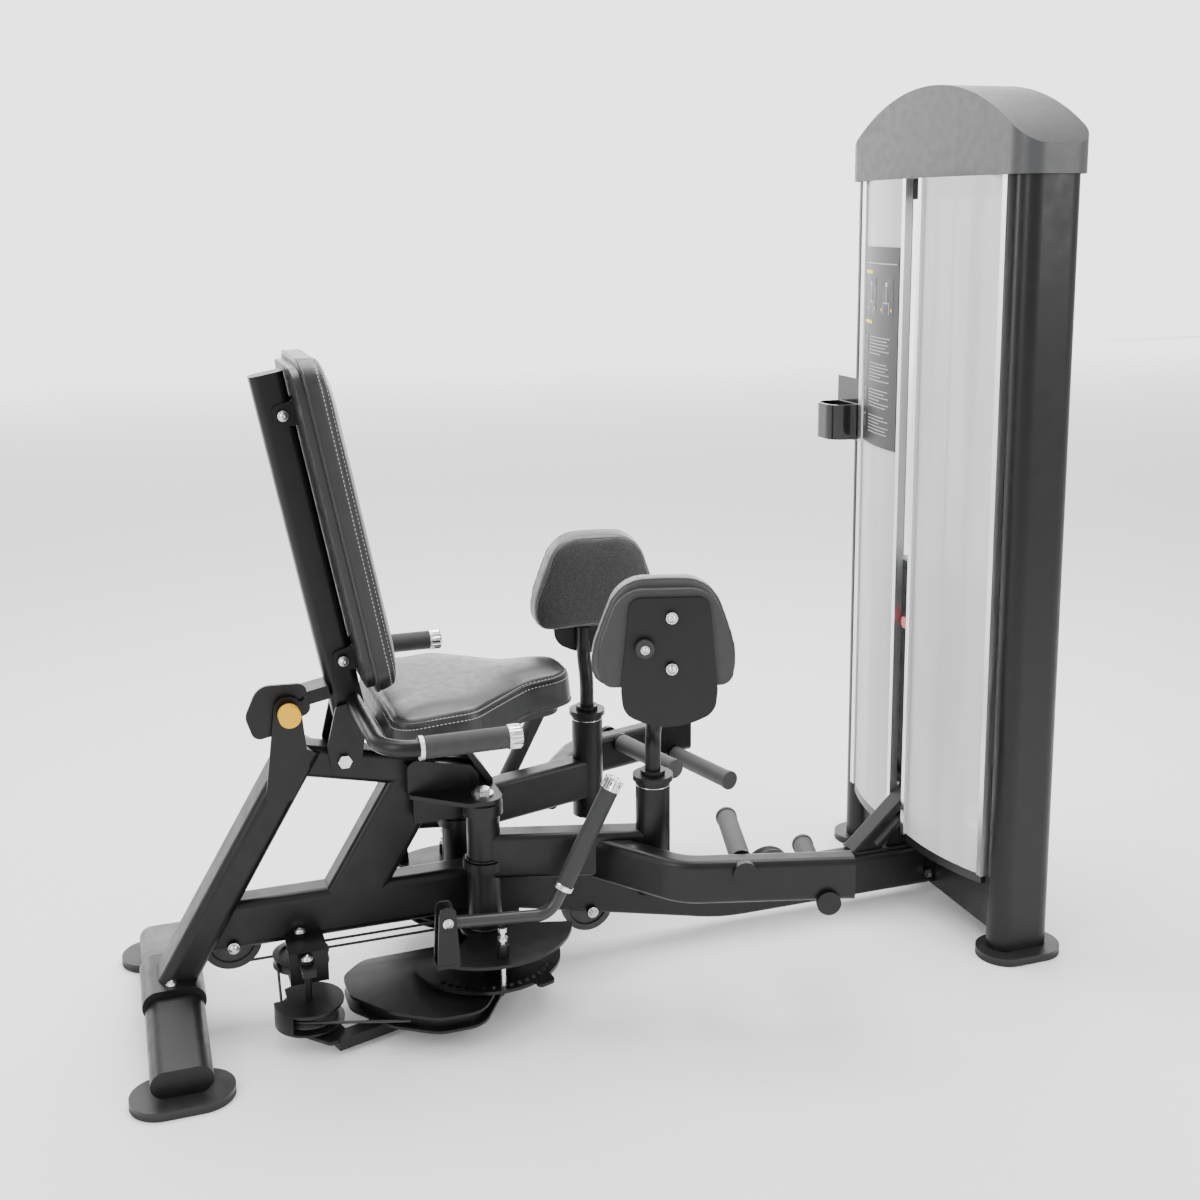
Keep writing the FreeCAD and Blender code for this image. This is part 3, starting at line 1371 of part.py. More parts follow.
def start_levers():
    """The lever that lifts the pull-pin, in its bracket on the arm's half round plate."""
    steps = [("line", 158), ("arc", 40, 67.3), ("line", 231.3)]
    turn = Rotation(Vector(1, 0, 0), Vector(0, 0, 1), Vector(0, -1, 0), "XYZ")
    slope = about((0, 1, 0), 5)
    tube = bent_tube(steps, round_section("lever_diameter"), (-326, -220, 215.8), slope.multiply(turn))
    eye = rod(22, 22, (-327, -231, 213), (0, 1, 0))
    hole = rod(10.16, 60, (-327, -250, 213), (0, 1, 0))
    grip_turn = about((0, 1, 0), 90 - 62.3)
    grip = rod("lever_grip", 196, (-115, -220, 251))
    grip.Placement = Placement(Vector(-115, -220, 251), grip_turn)
    tip = rod("lever_grip+2", 6, (0, 0, 0))
    reach = 196
    tip.Placement = Placement(Vector(-115 + reach * cos(62.3), -220, 251 + reach * sin(62.3)), grip_turn)
    low_collar = rod("lever_grip+2", 7, (0, 0, 0))
    low_collar.Placement = Placement(Vector(-115 - 6 * cos(62.3), -220, 251 - 6 * sin(62.3)), grip_turn)
    lever = cut(join(tube, eye, grip, tip, low_collar), hole)
    holder = several(lever)
    holder.Placement = TO_ARM
    both_sides("lever", holder)

    pin = rod("pull_pin_diameter", 194 - 84, (PIVOT_X, -PIVOT_Y - 121, 84))
    ring = rod(18, 5, (PIVOT_X, -PIVOT_Y - 121, 170))
    head = rod(16, 8, (PIVOT_X, -PIVOT_Y - 121, 186))
    pin_holder = several(join(pin, ring, head))
    pin_holder.Placement = TO_ARM
    both_sides("pull_pin", pin_holder)


swing_arm()
foot_rollers()
thigh_pads()
start_levers()

# ---------------------------------------------------------------- back rest

BACK = Placement(
    Vector(val("back_pivot_x"), 0, val("back_pivot_z")), about((0, 1, 0), -val("back_lean")),
)
TO_BACK = BACK.inverse()


def back_rest():
    low, high = 41, 689
    middle = 31
    post = straight_tube("post_depth", "post_width", high - low, 14, "wall", (middle, 0, low))
    lid = straight_tube("post_depth", "post_width", 6, 14, None, (middle, 0, high))
    filled = straight_tube("post_depth", "post_width", high - low, 14, None, (middle, 0, low))
    pieces = [lid]
    cheek = [(-24, -24), (24, -24), (50, 45), (55, 100), (8, 100), (-24, 30)]
    for side in (-1, 1):
        y = side * 33.7
        pieces.append(upright_plate(cheek, [22, 22, 20, 8, 8, 20], y - 3, y + 3))
        spacer = box((40, 11, 44), (10, side * 30.5 - 5.5, 54))
        pieces.append(spacer)
        for u in (178, 622):
            fin = [(24, u - 17), (62, u - 22), (62, u + 22), (24, u + 17)]
            pieces.append(upright_plate(fin, [10, 0, 0, 10], side * 28 - 3, side * 28 + 3))
            nut_y = side * 31
            pieces.append(hexagon(17, 7, (40, nut_y, u), (0, side, 0)))
    bar = box((122, 54, 24), (-118, -34, 118))
    sector = [(-146, 130), (-140, 84), (-104, 84), (-86, 102), (-34, 104), (-34, 160), (-112, 178)]
    pin = TO_BACK.multVec(Vector(-557, 0, 567))
    pin_radius = math.hypot(pin.x, pin.z)
    pin_angle = math.degrees(math.atan2(pin.z, pin.x))
    sector_plate = upright_plate(sector, [26, 16, 8, 10, 16, 16, 30], -40, -34)
    drilled = []
    for step in (-12, -6, 0, 6, 12):
        angle = pin_angle + step
        drilled.append(rod(11, 20, (pin_radius * cos(angle), -47, pin_radius * sin(angle)), (0, 1, 0)))
    pieces.append(cut(sector_plate, *drilled))
    pieces.append(cut(bar, *[rod(11, 7, (pin.x, -35, pin.z), (0, 1, 0))]))

    grip_end = -214
    cross_x = -439
    bend = val("handle_bend")
    side_run = grip_end - cross_x - bend
    cross_run = 2 * val("handle_y") - 2 * bend
    steps = [
        ("line", side_run), ("arc", bend, -90), ("line", cross_run), ("arc", bend, -90), ("line", side_run),
    ]
    handle_z = 565
    handle = bent_tube(
        steps, round_section("handle_diameter", "handle_diameter-6"),
        (grip_end, -val("handle_y"), handle_z), about((0, 0, 1), 180),
    )
    ride(TO_BACK, handle)
    handle_outside = cut(handle, filled)
    axle = rod("axle_bore", 100, (0, -50, 0), (0, 1, 0))
    welded = cut(join(post, handle_outside, *pieces), axle)
    welded.Placement = BACK
    node("back_post", welded)

    facing = Rotation(Vector(0, 1, 0), Vector(0, 0, 1), Vector(1, 0, 0), "XYZ")
    half = val("back_width") / 2
    board = [(-half + 14, 138), (half - 14, 138), (half - 14, 704), (-half + 14, 704)]
    board_item = plate(board, 50, 12, (62, 0, 0), facing)
    ride(BACK, board_item)
    node("back_board", board_item)
    top = 122 + 600
    cushion = [(-half, 122), (half, 122), (half, top), (-half, top)]
    pad_item = plate(cushion, [60, 60, 70, 70], "back_pad_thickness", (74, 0, 0), facing)
    ride(BACK, pad_item)
    node("back_pad", pad_item)

    grips = []
    for side in (-1, 1):
        y = side * val("handle_y")
        grip = rod("grip_diameter", "grip_length", (-373, y, handle_z), (1, 0, 0))
        front_collar = rod("grip_diameter+3", 7, (-232, y, handle_z), (1, 0, 0))
        rear_collar = rod("grip_diameter+3", 7, (-380, y, handle_z), (1, 0, 0))
        end = rod("handle_diameter+2", 5, (grip_end, y, handle_z), (1, 0, 0))
        bore = rod("handle_diameter", 170, (-384, y, handle_z), (1, 0, 0))
        grips.append(join(cut(join(grip, front_collar, rear_collar), bore), end))
    node("handle_grips", several(*grips))


def recline_knob():
    x, z = -557, 567
    pin = rod("pull_pin_diameter", 26, (x, -66.5, z), (0, 1, 0))
    knob = rod("knob_diameter", 20, (x, -86, z), (0, 1, 0))
    neck = rod(20, 8, (x, -68, z), (0, 1, 0))
    node("recline_knob", join(pin, knob, neck))


back_rest()
recline_knob()

# ---------------------------------------------------------------- fasteners

def fasteners():
    bolts = []
    top = val("carrier_bottom") + val("carrier_thickness")
    for side in (-1, 1):
        bolts.append(hexagon(24, 11, (PIVOT_X, side * PIVOT_Y, top)))
        bolts.append(rod(40, 3, (PIVOT_X, side * PIVOT_Y, top)))
    span = 2 * 37.2
    x = val("back_pivot_x")
    z = val("back_pivot_z")
    bolts.append(rod("axle_diameter", span, (x, -span / 2, z), (0, 1, 0)))
    for side in (-1, 1):
        bolts.append(hexagon(22, 9, (x, side * span / 2, z), (0, side, 0)))
    for y in (-41, 41):
        for z in (58, 126):
            bolts.append(hexagon(15, 7, (731, y, z), (-1, 0, 0)))
    node("frame_fasteners", join(*bolts))


fasteners()

# ---------------------------------------------------------------- checks and files

doc.recompute()
failed = [item.Label for item in doc.Objects if "Invalid" in item.State or "Error" in item.State]
if failed:
    raise RuntimeError("failed objects: %s" % ", ".join(failed))
for item in NODES:
    if item.Shape.isNull() or not item.Shape.isValid():
        raise RuntimeError("bad shape: " + item.Label)

os.makedirs("parts", exist_ok=True)
for item in NODES:
    item.Shape.exportStep("parts/%s.step" % item.Label)
print("wrote %d sub-parts" % len(NODES))
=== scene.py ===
import math

import bmesh
import bpy
import numpy as np
from mathutils import Matrix, Vector
from mathutils.bvhtree import BVHTree
from mathutils.kdtree import KDTree


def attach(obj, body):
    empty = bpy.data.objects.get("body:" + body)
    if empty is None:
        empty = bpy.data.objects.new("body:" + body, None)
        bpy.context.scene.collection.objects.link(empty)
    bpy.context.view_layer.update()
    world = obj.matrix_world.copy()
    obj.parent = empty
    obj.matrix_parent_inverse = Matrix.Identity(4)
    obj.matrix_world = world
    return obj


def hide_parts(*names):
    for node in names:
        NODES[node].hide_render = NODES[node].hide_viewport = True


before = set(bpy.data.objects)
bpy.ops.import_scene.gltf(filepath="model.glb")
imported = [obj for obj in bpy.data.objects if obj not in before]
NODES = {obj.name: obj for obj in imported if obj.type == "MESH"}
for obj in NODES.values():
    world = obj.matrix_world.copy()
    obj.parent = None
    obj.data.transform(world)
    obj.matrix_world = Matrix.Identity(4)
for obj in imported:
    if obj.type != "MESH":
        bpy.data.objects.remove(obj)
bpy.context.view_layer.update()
MM = 0.001
X_AXIS, Y_AXIS, Z_AXIS = Vector((1, 0, 0)), Vector((0, 1, 0)), Vector((0, 0, 1))


def mm(*values):
    return Vector(values) * MM


# ---------------------------------------------------------------- camera, light and floor

CAMERA_AT = (-0.8230, -2.5187, 1.4039)
CAMERA_TURN = (18.595, 10.219, 0.589)    # yaw, pitch and roll in degrees
CAMERA_LENS = 44.05
CAMERA_SHIFT = (0.0040, -0.0998)
LIGHT_ON_MACHINE = 1.0                   # strength of the white surroundings
EXTRA_FOR_BACKDROP = 2.0                 # added where they are seen directly
FLOOR_HALF = 14.0
FLOOR_BACK = 11.0


def make_camera():
    data = bpy.data.cameras.new("Camera")
    data.sensor_width = 36.0
    data.lens = CAMERA_LENS
    data.shift_x, data.shift_y = CAMERA_SHIFT
    yaw, pitch, roll = (math.radians(angle) for angle in CAMERA_TURN)
    ahead = Vector((math.sin(yaw) * math.cos(pitch), math.cos(yaw) * math.cos(pitch), -math.sin(pitch)))
    level = Vector((math.cos(yaw), -math.sin(yaw), 0))
    down = ahead.cross(level)
    right = level * math.cos(roll) + down * math.sin(roll)
    up = level * math.sin(roll) - down * math.cos(roll)
    camera = bpy.data.objects.new("Camera", data)
    bpy.context.scene.collection.objects.link(camera)
    turn = Matrix((right, up, -ahead)).transposed()
    camera.matrix_world = Matrix.Translation(CAMERA_AT) @ turn.to_4x4()
    bpy.context.scene.camera = camera


def area_light(name, at, towards, size, power):
    """A softbox that lights the machine and isn't seen itself."""
    data = bpy.data.lights.new(name, "AREA")
    data.shape = "RECTANGLE"
    data.size, data.size_y = size
    data.energy = power
    light = bpy.data.objects.new(name, data)
    bpy.context.scene.collection.objects.link(light)
    light.location = at
    light.visible_camera = False
    light.rotation_euler = (Vector(towards) - Vector(at)).to_track_quat("-Z", "Y").to_euler()


def studio():
    world = bpy.data.worlds.new("Studio")
    bpy.context.scene.world = world
    world.use_nodes = True
    tree = world.node_tree
    background = tree.nodes["Background"]
    background.inputs["Color"].default_value = (1.0, 1.0, 1.0, 1)
    ray = tree.nodes.new("ShaderNodeLightPath")
    level = tree.nodes.new("ShaderNodeMath")
    level.operation = "MULTIPLY_ADD"
    level.inputs[1].default_value = EXTRA_FOR_BACKDROP
    level.inputs[2].default_value = LIGHT_ON_MACHINE
    tree.links.new(ray.outputs["Is Camera Ray"], level.inputs[0])
    tree.links.new(level.outputs[0], background.inputs["Strength"])
    area_light("TopSoftbox", (0.2, 1.0, 3.4), (0, 0.1, 0.5), (3.4, 2.2), 210)
    area_light("LeftSoftbox", (-3.0, -1.4, 2.2), (-0.2, 0, 0.6), (1.4, 2.4), 60)
    area_light("RightSoftbox", (2.6, -2.8, 2.4), (0.6, 0, 0.8), (1.2, 2.6), 70)
    area_light("BackSoftbox", (2.0, 11.4, 3.2), (0.6, 0, 0.3), (26.0, 6.0), 2100)

    mesh = bpy.data.meshes.new("Floor")
    corners = [
        (-FLOOR_HALF, -FLOOR_HALF, 0), (FLOOR_HALF, -FLOOR_HALF, 0),
        (FLOOR_HALF, FLOOR_BACK, 0), (-FLOOR_HALF, FLOOR_BACK, 0),
    ]
    mesh.from_pydata(corners, [], [(0, 1, 2, 3)])
    floor = bpy.data.objects.new("Floor", mesh)
    floor.location.z = -0.0004
    bpy.context.scene.collection.objects.link(floor)
    mat = bpy.data.materials.new("FloorPaper")
    mat.use_nodes = True
    shader = mat.node_tree.nodes["Principled BSDF"]
    shader.inputs["Base Color"].default_value = (0.95, 0.95, 0.95, 1)
    shader.inputs["Roughness"].default_value = 0.9
    mesh.materials.append(mat)


make_camera()
studio()

# ---------------------------------------------------------------- material building blocks


class Shader:
    """A Principled material with a few helpers for procedural detail in metres."""

    def __init__(self, name, color, rough, metal=0.0, **values):
        self.mat = bpy.data.materials.new(name)
        self.mat.use_nodes = True
        self.tree = self.mat.node_tree
        self.base = self.tree.nodes["Principled BSDF"]
        self.color = (*color, 1)
        self.base.inputs["Base Color"].default_value = self.color
        self.base.inputs["Roughness"].default_value = rough
        self.base.inputs["Metallic"].default_value = metal
        for key, value in values.items():
            self.base.inputs[key.replace("_", " ")].default_value = value
        self.rough = rough
        self.normal = None

    def add(self, kind, **settings):
        made = self.tree.nodes.new(kind)
        for key, value in settings.items():
            setattr(made, key, value)
        return made

    def link(self, source, target):
        self.tree.links.new(source, target)

    def place(self, scale=(1, 1, 1)):
        coords = self.add("ShaderNodeTexCoord")
        mapping = self.add("ShaderNodeMapping")
        mapping.inputs["Scale"].default_value = scale
        self.link(coords.outputs["Object"], mapping.inputs["Vector"])
        return mapping.outputs["Vector"]

    def noise(self, scale, detail=3.0, stretch=(1, 1, 1), distortion=0.0):
        made = self.add("ShaderNodeTexNoise")
        made.inputs["Scale"].default_value = scale
        made.inputs["Detail"].default_value = detail
        made.inputs["Distortion"].default_value = distortion
        self.link(self.place(stretch), made.inputs["Vector"])
        return made.outputs["Fac"]

    def cells(self, scale, feature="F1"):
        made = self.add("ShaderNodeTexVoronoi", feature=feature)
        made.inputs["Scale"].default_value = scale
        self.link(self.place(), made.inputs["Vector"])
        return made.outputs["Distance"]

    def waves(self, scale, direction):
        made = self.add("ShaderNodeTexWave", bands_direction=direction)
        made.inputs["Scale"].default_value = scale
        self.link(self.place(), made.inputs["Vector"])
        return made.outputs["Fac"]

    def math(self, operation, first, second):
        made = self.add("ShaderNodeMath", operation=operation)
        for socket, value in zip(made.inputs, (first, second)):
            if isinstance(value, (int, float)):
                socket.default_value = value
            else:
                self.link(value, socket)
        return made.outputs[0]

    def between(self, value, low, high, to_low=0.0, to_high=1.0):
        made = self.add("ShaderNodeMapRange")
        made.inputs["From Min"].default_value = low
        made.inputs["From Max"].default_value = high
        made.inputs["To Min"].default_value = to_low
        made.inputs["To Max"].default_value = to_high
        self.link(value, made.inputs["Value"])
        return made.outputs["Result"]

    def axis(self, name):
        split = self.add("ShaderNodeSeparateXYZ")
        self.link(self.place(), split.inputs["Vector"])
        return split.outputs[name]

    def along(self, start, direction):
        """Distance from a point along a direction, in metres."""
        shift = self.add("ShaderNodeVectorMath", operation="SUBTRACT")
        self.link(self.place(), shift.inputs[0])
        shift.inputs[1].default_value = start
        dot = self.add("ShaderNodeVectorMath", operation="DOT_PRODUCT")
        self.link(shift.outputs["Vector"], dot.inputs[0])
        dot.inputs[1].default_value = direction
        return dot.outputs["Value"]

    def mix(self, factor, first, second):
        made = self.add("ShaderNodeMix", data_type="RGBA")
        sockets = [item for item in made.inputs if item.type == "RGBA"]
        for socket, value in zip(sockets, (first, second)):
            if isinstance(value, tuple):
                socket.default_value = (*value, 1)
            else:
                self.link(value, socket)
        self.link(factor, made.inputs["Factor"])
        return next(item for item in made.outputs if item.type == "RGBA")

    def vary(self, factor, low, high):
        """Colour between the base colour times low and times high."""
        dark = tuple(part * low for part in self.color[:3])
        light = tuple(min(part * high, 1.0) for part in self.color[:3])
        self.paint(self.mix(factor, dark, light))

    def paint(self, color):
        self.link(color, self.base.inputs["Base Color"])

    def roughen(self, factor, low, high):
        self.link(self.between(factor, 0.3, 0.7, low, high), self.base.inputs["Roughness"])

    def bump(self, height, strength, depth):
        made = self.add("ShaderNodeBump")
        made.inputs["Strength"].default_value = strength
        made.inputs["Distance"].default_value = depth
        self.link(height, made.inputs["Height"])
        if self.normal is not None:
            self.link(self.normal, made.inputs["Normal"])
        self.normal = made.outputs["Normal"]
        self.link(self.normal, self.base.inputs["Normal"])


def powder_coat(name, color=(0.0045, 0.0046, 0.0050)):
    coat = Shader(name, color, 0.34, Specular_IOR_Level=0.32)
    coat.vary(coat.noise(5, 4), 0.8, 1.25)
    coat.roughen(coat.noise(30, 5), 0.30, 0.43)
    coat.bump(coat.noise(850, 2), 0.22, 0.00025)
    coat.bump(coat.noise(90, 3), 0.05, 0.0006)
    return coat.mat


def rubber(name, color=(0.012, 0.012, 0.012), rough=0.75):
    skin = Shader(name, color, rough)
    skin.vary(skin.noise(40, 5), 0.7, 1.5)
    skin.bump(skin.noise(1300, 3), 0.5, 0.0004)
    return skin.mat


def vinyl(name, color=(0.009, 0.009, 0.0095), rough=0.36, grain=0.22):
    """Smooth upholstery vinyl: a fine grain and a soft shine."""
    skin = Shader(name, color, rough, Specular_IOR_Level=0.5, Coat_Weight=0.1, Coat_Roughness=0.3)
    skin.vary(skin.noise(14, 4), 0.8, 1.3)
    skin.roughen(skin.noise(60, 4), rough - 0.06, rough + 0.08)
    skin.bump(skin.noise(9, 2, distortion=0.4), 0.08, 0.004)
    skin.bump(skin.cells(900, "SMOOTH_F1"), grain, 0.0004)
    skin.bump(skin.noise(1500, 3), grain * 0.4, 0.0003)
    return skin.mat


def textured_vinyl(name):
    """The mottled, pebbled vinyl on the faces of the thigh pads."""
    skin = Shader(name, (0.038, 0.038, 0.039), 0.55, Sheen_Weight=0.15, Sheen_Roughness=0.5)
    mottle = skin.math("MULTIPLY", skin.cells(330), skin.noise(480, 4))
    skin.paint(skin.mix(skin.between(mottle, 0.08, 0.36), (0.008, 0.008, 0.0085), (0.034, 0.034, 0.035)))
    skin.roughen(skin.noise(90, 4), 0.48, 0.62)
    skin.bump(skin.cells(420), 0.55, 0.0006)
    return skin.mat


def moulded(name, color, rough=0.45, grain=0.35):
    shell = Shader(name, color, rough)
    shell.vary(shell.noise(7, 4), 0.9, 1.1)
    shell.roughen(shell.noise(50, 4), rough - 0.05, rough + 0.07)
    shell.bump(shell.cells(900), grain, 0.0003)
    return shell.mat


def gloss(name, color, rough=0.16):
    shell = Shader(name, color, rough, Coat_Weight=0.5, Coat_Roughness=0.08)
    shell.vary(shell.noise(25, 4), 0.88, 1.1)
    shell.roughen(shell.noise(120, 4), rough - 0.03, rough + 0.08)
    shell.bump(shell.noise(60, 3), 0.06, 0.0006)
    return shell.mat


def metal(name, color, rough, stretch=(1, 1, 1), depth=0.0002):
    part = Shader(name, color, rough, 1.0)
    part.vary(part.noise(160, 4, stretch), 0.82, 1.12)
    part.roughen(part.noise(320, 4, stretch), max(rough - 0.07, 0.04), rough + 0.1)
    part.bump(part.noise(700, 3, stretch), 0.12, depth)
    return part.mat


def frosted(name, alpha):
    """A cloudy plastic sheet that lets through what alpha leaves."""
    sheet = Shader(name, (0.7, 0.71, 0.72), 0.42, Specular_IOR_Level=0.45)
    streaks = sheet.noise(9, 4, (1, 1, 0.08))
    haze = sheet.noise(2.2, 3, (1, 1, 0.5))
    both = sheet.math("ADD", sheet.math("MULTIPLY", streaks, 0.6), sheet.math("MULTIPLY", haze, 0.4))
    tone = sheet.between(both, 0.35, 0.65)
    sheet.paint(sheet.mix(tone, (0.66, 0.67, 0.68), (0.90, 0.91, 0.92)))
    sheet.link(sheet.between(both, 0.35, 0.65, alpha - 0.07, alpha + 0.08), sheet.base.inputs["Alpha"])
    sheet.bump(sheet.noise(1100, 2), 0.3, 0.0003)
    return sheet.mat


def sheathed_cable():
    rope = Shader("CableSheath", (0.016, 0.016, 0.017), 0.35)
    rope.vary(rope.noise(70, 4), 0.7, 1.5)
    rope.bump(rope.waves(160, "DIAGONAL"), 0.35, 0.0004)
    return rope.mat


def foam_roller():
    foam = Shader("RollerFoam", (0.046, 0.046, 0.047), 0.62)
    foam.vary(foam.noise(28, 5), 0.82, 1.2)
    foam.bump(foam.cells(520), 0.45, 0.0006)
    foam.bump(foam.noise(35, 3), 0.15, 0.002)
    return foam.mat


STACK_TOP = 0.6965


def weight_plates():
    """Painted iron, with the bare top of the highest plate."""
    iron = Shader("StackPaint", (0.022, 0.022, 0.024), 0.42)
    top = iron.between(iron.axis("Z"), STACK_TOP, STACK_TOP + 0.002)
    painted = iron.mix(iron.noise(40, 5), (0.016, 0.016, 0.018), (0.036, 0.036, 0.038))
    iron.paint(iron.mix(top, painted, (0.34, 0.345, 0.35)))
    iron.roughen(iron.noise(110, 4), 0.35, 0.5)
    iron.bump(iron.noise(420, 3), 0.35, 0.0005)
    return iron.mat


def metal_where(shader, mask, color, rough):
    """Bright metal on part of a piece whose other part is rubber or paint."""
    old = shader.base.inputs["Base Color"].links[0].from_socket
    shader.paint(shader.mix(mask, old, color))
    shader.link(mask, shader.base.inputs["Metallic"])
    shader.link(shader.between(mask, 0, 1, shader.rough, rough), shader.base.inputs["Roughness"])


GRIP_FRONT = -0.2325
GRIP_REAR = -0.3725


def handle_grip():
    """Ribbed rubber between two bright collars."""
    skin = Shader("HandleGrip", (0.021, 0.021, 0.022), 0.6)
    skin.vary(skin.noise(60, 4), 0.75, 1.4)
    skin.bump(skin.waves(210, "X"), 0.5, 0.0005)
    skin.bump(skin.waves(210, "Y"), 0.4, 0.0005)
    x = skin.axis("X")
    front = skin.math("GREATER_THAN", x, GRIP_FRONT)
    rear = skin.math("LESS_THAN", x, GRIP_REAR)
    metal_where(skin, skin.math("MAXIMUM", front, rear), (0.72, 0.73, 0.74), 0.22)
    return skin.mat


GRIP_LENGTH = 0.196
GRIP_START = mm(-115, 0, 251)
GRIP_SLOPE = math.radians(62.3)
GRIP_WAY = Vector((math.cos(GRIP_SLOPE), 0, math.sin(GRIP_SLOPE)))


def lever_finish():
    """Black paint on the bent tube, rubber on its grip."""
    skin = Shader("LeverFinish", (0.020, 0.0205, 0.0215), 0.36)
    skin.vary(skin.noise(5, 4), 0.8, 1.25)
    distance = skin.along(GRIP_START, GRIP_WAY)
    grip = skin.math("MULTIPLY", skin.math("GREATER_THAN", distance, 0.0005),
                     skin.math("LESS_THAN", distance, GRIP_LENGTH))
    skin.link(skin.between(grip, 0, 1, 0.36, 0.62), skin.base.inputs["Roughness"])
    ribs = skin.math("SINE", skin.math("MULTIPLY", distance, 2600), 0)
    skin.bump(skin.math("MULTIPLY", ribs, grip), 0.4, 0.0005)
    skin.bump(skin.noise(850, 2), 0.25, 0.0003)
    return skin.mat


def placard_plate():
    coat = Shader("PlacardPlate", (0.019, 0.019, 0.020), 0.42)
    coat.vary(coat.noise(20, 3), 0.9, 1.1)
    coat.bump(coat.noise(500, 2), 0.1, 0.0002)
    return coat.mat


RAIL_TOP = 0.1495


def profile_finish():
    """Bright strips beside the panels, and black rails under them."""
    part = Shader("ProfileFinish", (0.012, 0.012, 0.012), 0.4)
    brushed = part.noise(320, 4, (1, 1, 0.02))
    strip = part.math("GREATER_THAN", part.axis("Z"), RAIL_TOP)
    bright = part.mix(brushed, (0.70, 0.71, 0.72), (0.86, 0.87, 0.88))
    part.paint(part.mix(strip, (0.012, 0.012, 0.012), bright))
    part.link(strip, part.base.inputs["Metallic"])
    part.roughen(brushed, 0.28, 0.42)
    part.bump(brushed, 0.1, 0.0002)
    return part.mat


PAINT = powder_coat("PowderCoat")
FOOT_PAINT = powder_coat("FootPowderCoat", (0.017, 0.017, 0.018))
FOOT_RUBBER = rubber("FootRubber")
COVER = moulded("CoverMoulding", (0.047, 0.048, 0.050), 0.4)
BOARD = moulded("BackingBoard", (0.024, 0.024, 0.025), 0.5, 0.6)
PANEL = frosted("FrostedSheet", 0.62)
REAR_PANEL = frosted("RearSheet", 0.45)
CHROME = metal("Chrome", (0.78, 0.79, 0.80), 0.12, (1, 1, 0.1))
ZINC = metal("ZincPlate", (0.70, 0.71, 0.72), 0.26)
NYLON = moulded("PulleyNylon", (0.022, 0.022, 0.022), 0.4, 0.2)
THREAD = moulded("GreyThread", (0.42, 0.42, 0.41), 0.6, 0.5)
SEAT_VINYL = vinyl("SeatVinyl")
BACK_VINYL = vinyl("BackVinyl")
# The thigh pads' side band, welts and piping: black vinyl whose lighter colour is painted sheen,
# standing in for the light the band reflects.
BAND_VINYL_PAINTED_SHEEN = vinyl("PadBandVinylPaintedSheen", (0.042, 0.042, 0.044), 0.42, 0.4)
PAD_VINYL = textured_vinyl("PadFaceVinyl")
BLACK_RUBBER = rubber("BumperRubber", (0.014, 0.014, 0.014), 0.55)

FINISHES = {
    "foot_plates": FOOT_PAINT,
    "foot_rubbers": FOOT_RUBBER,
    "top_cover": COVER,
    "shroud_right": PANEL,
    "shroud_left": PANEL,
    "shroud_rear": REAR_PANEL,
    "shroud_profiles": profile_finish(),
    "guide_rods": CHROME,
    "selector_rod": CHROME,
    "pivot_shafts": CHROME,
    "right_pull_pin": ZINC,
    "left_pull_pin": ZINC,
    "frame_fasteners": ZINC,
    "lifted_plates": weight_plates(),
    "resting_plates": weight_plates(),
    "selector_pin": gloss("SelectorRed", (0.50, 0.015, 0.015)),
    "recline_knob": moulded("YellowKnob", (0.74, 0.40, 0.0), 0.55, 0.15),
    "bottle_holder": gloss("HolderBlack", (0.012, 0.012, 0.013)),
    "placard": placard_plate(),
    "handle_grips": handle_grip(),
    "seat_board": BOARD,
    "back_board": BACK_VINYL,
    "right_pad_board": BOARD,
    "left_pad_board": BOARD,
    "right_lever": lever_finish(),
    "left_lever": lever_finish(),
}
for pulley in ("top", "tower_base", "middle", "front", "rear", "upper_side", "lower_side"):
    FINISHES[pulley + "_pulley"] = NYLON
FINISHES.update(dict.fromkeys(("main_cable", "sync_cable", "lift_cable"), sheathed_cable()))
FINISHES.update(dict.fromkeys(("right_rollers", "left_rollers"), foam_roller()))

for name, node in NODES.items():
    finish = FINISHES.get(name, PAINT)
    if not node.material_slots:
        node.data.materials.append(finish)
    for place in node.material_slots:
        place.material = finish

# ---------------------------------------------------------------- shared mesh helpers

ARM_ANGLE = math.radians(15.8)
PIVOT_RIGHT, PIVOT_LEFT = mm(-229, -104, 0), mm(-229, 104, 0)
RIGHT_ARM = Matrix.Translation(PIVOT_RIGHT) @ Matrix.Rotation(-ARM_ANGLE, 4, "Z")
LEFT_ARM = Matrix.Translation(PIVOT_LEFT) @ Matrix.Rotation(ARM_ANGLE, 4, "Z")
FLIP = Matrix.Diagonal((1, -1, 1, 1))
PAD_HUB = mm(305, 0, 0)
LEFT_PAD = (
    LEFT_ARM @ Matrix.Translation(PAD_HUB) @ Matrix.Rotation(math.radians(-22.8), 4, "Z")
    @ Matrix.Translation(-PAD_HUB) @ FLIP
)
BACK = Matrix.Translation(mm(-461, 0, 460)) @ Matrix.Rotation(math.radians(-10.9), 4, "Y")


def piece(name, mesh, mats, body, smooth=True):
    """A new visible piece made in the frame's own coordinates, on a body."""
    for mat in mats:
        mesh.materials.append(mat)
    if smooth:
        mesh.polygons.foreach_set("use_smooth", [True] * len(mesh.polygons))
    made = bpy.data.objects.new(name, mesh)
    bpy.context.scene.collection.objects.link(made)
    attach(made, body)
    return made


def from_bmesh(name, work):
    bmesh.ops.recalc_face_normals(work, faces=work.faces)
    mesh = bpy.data.meshes.new(name)
    work.to_mesh(mesh)
    work.free()
    return mesh


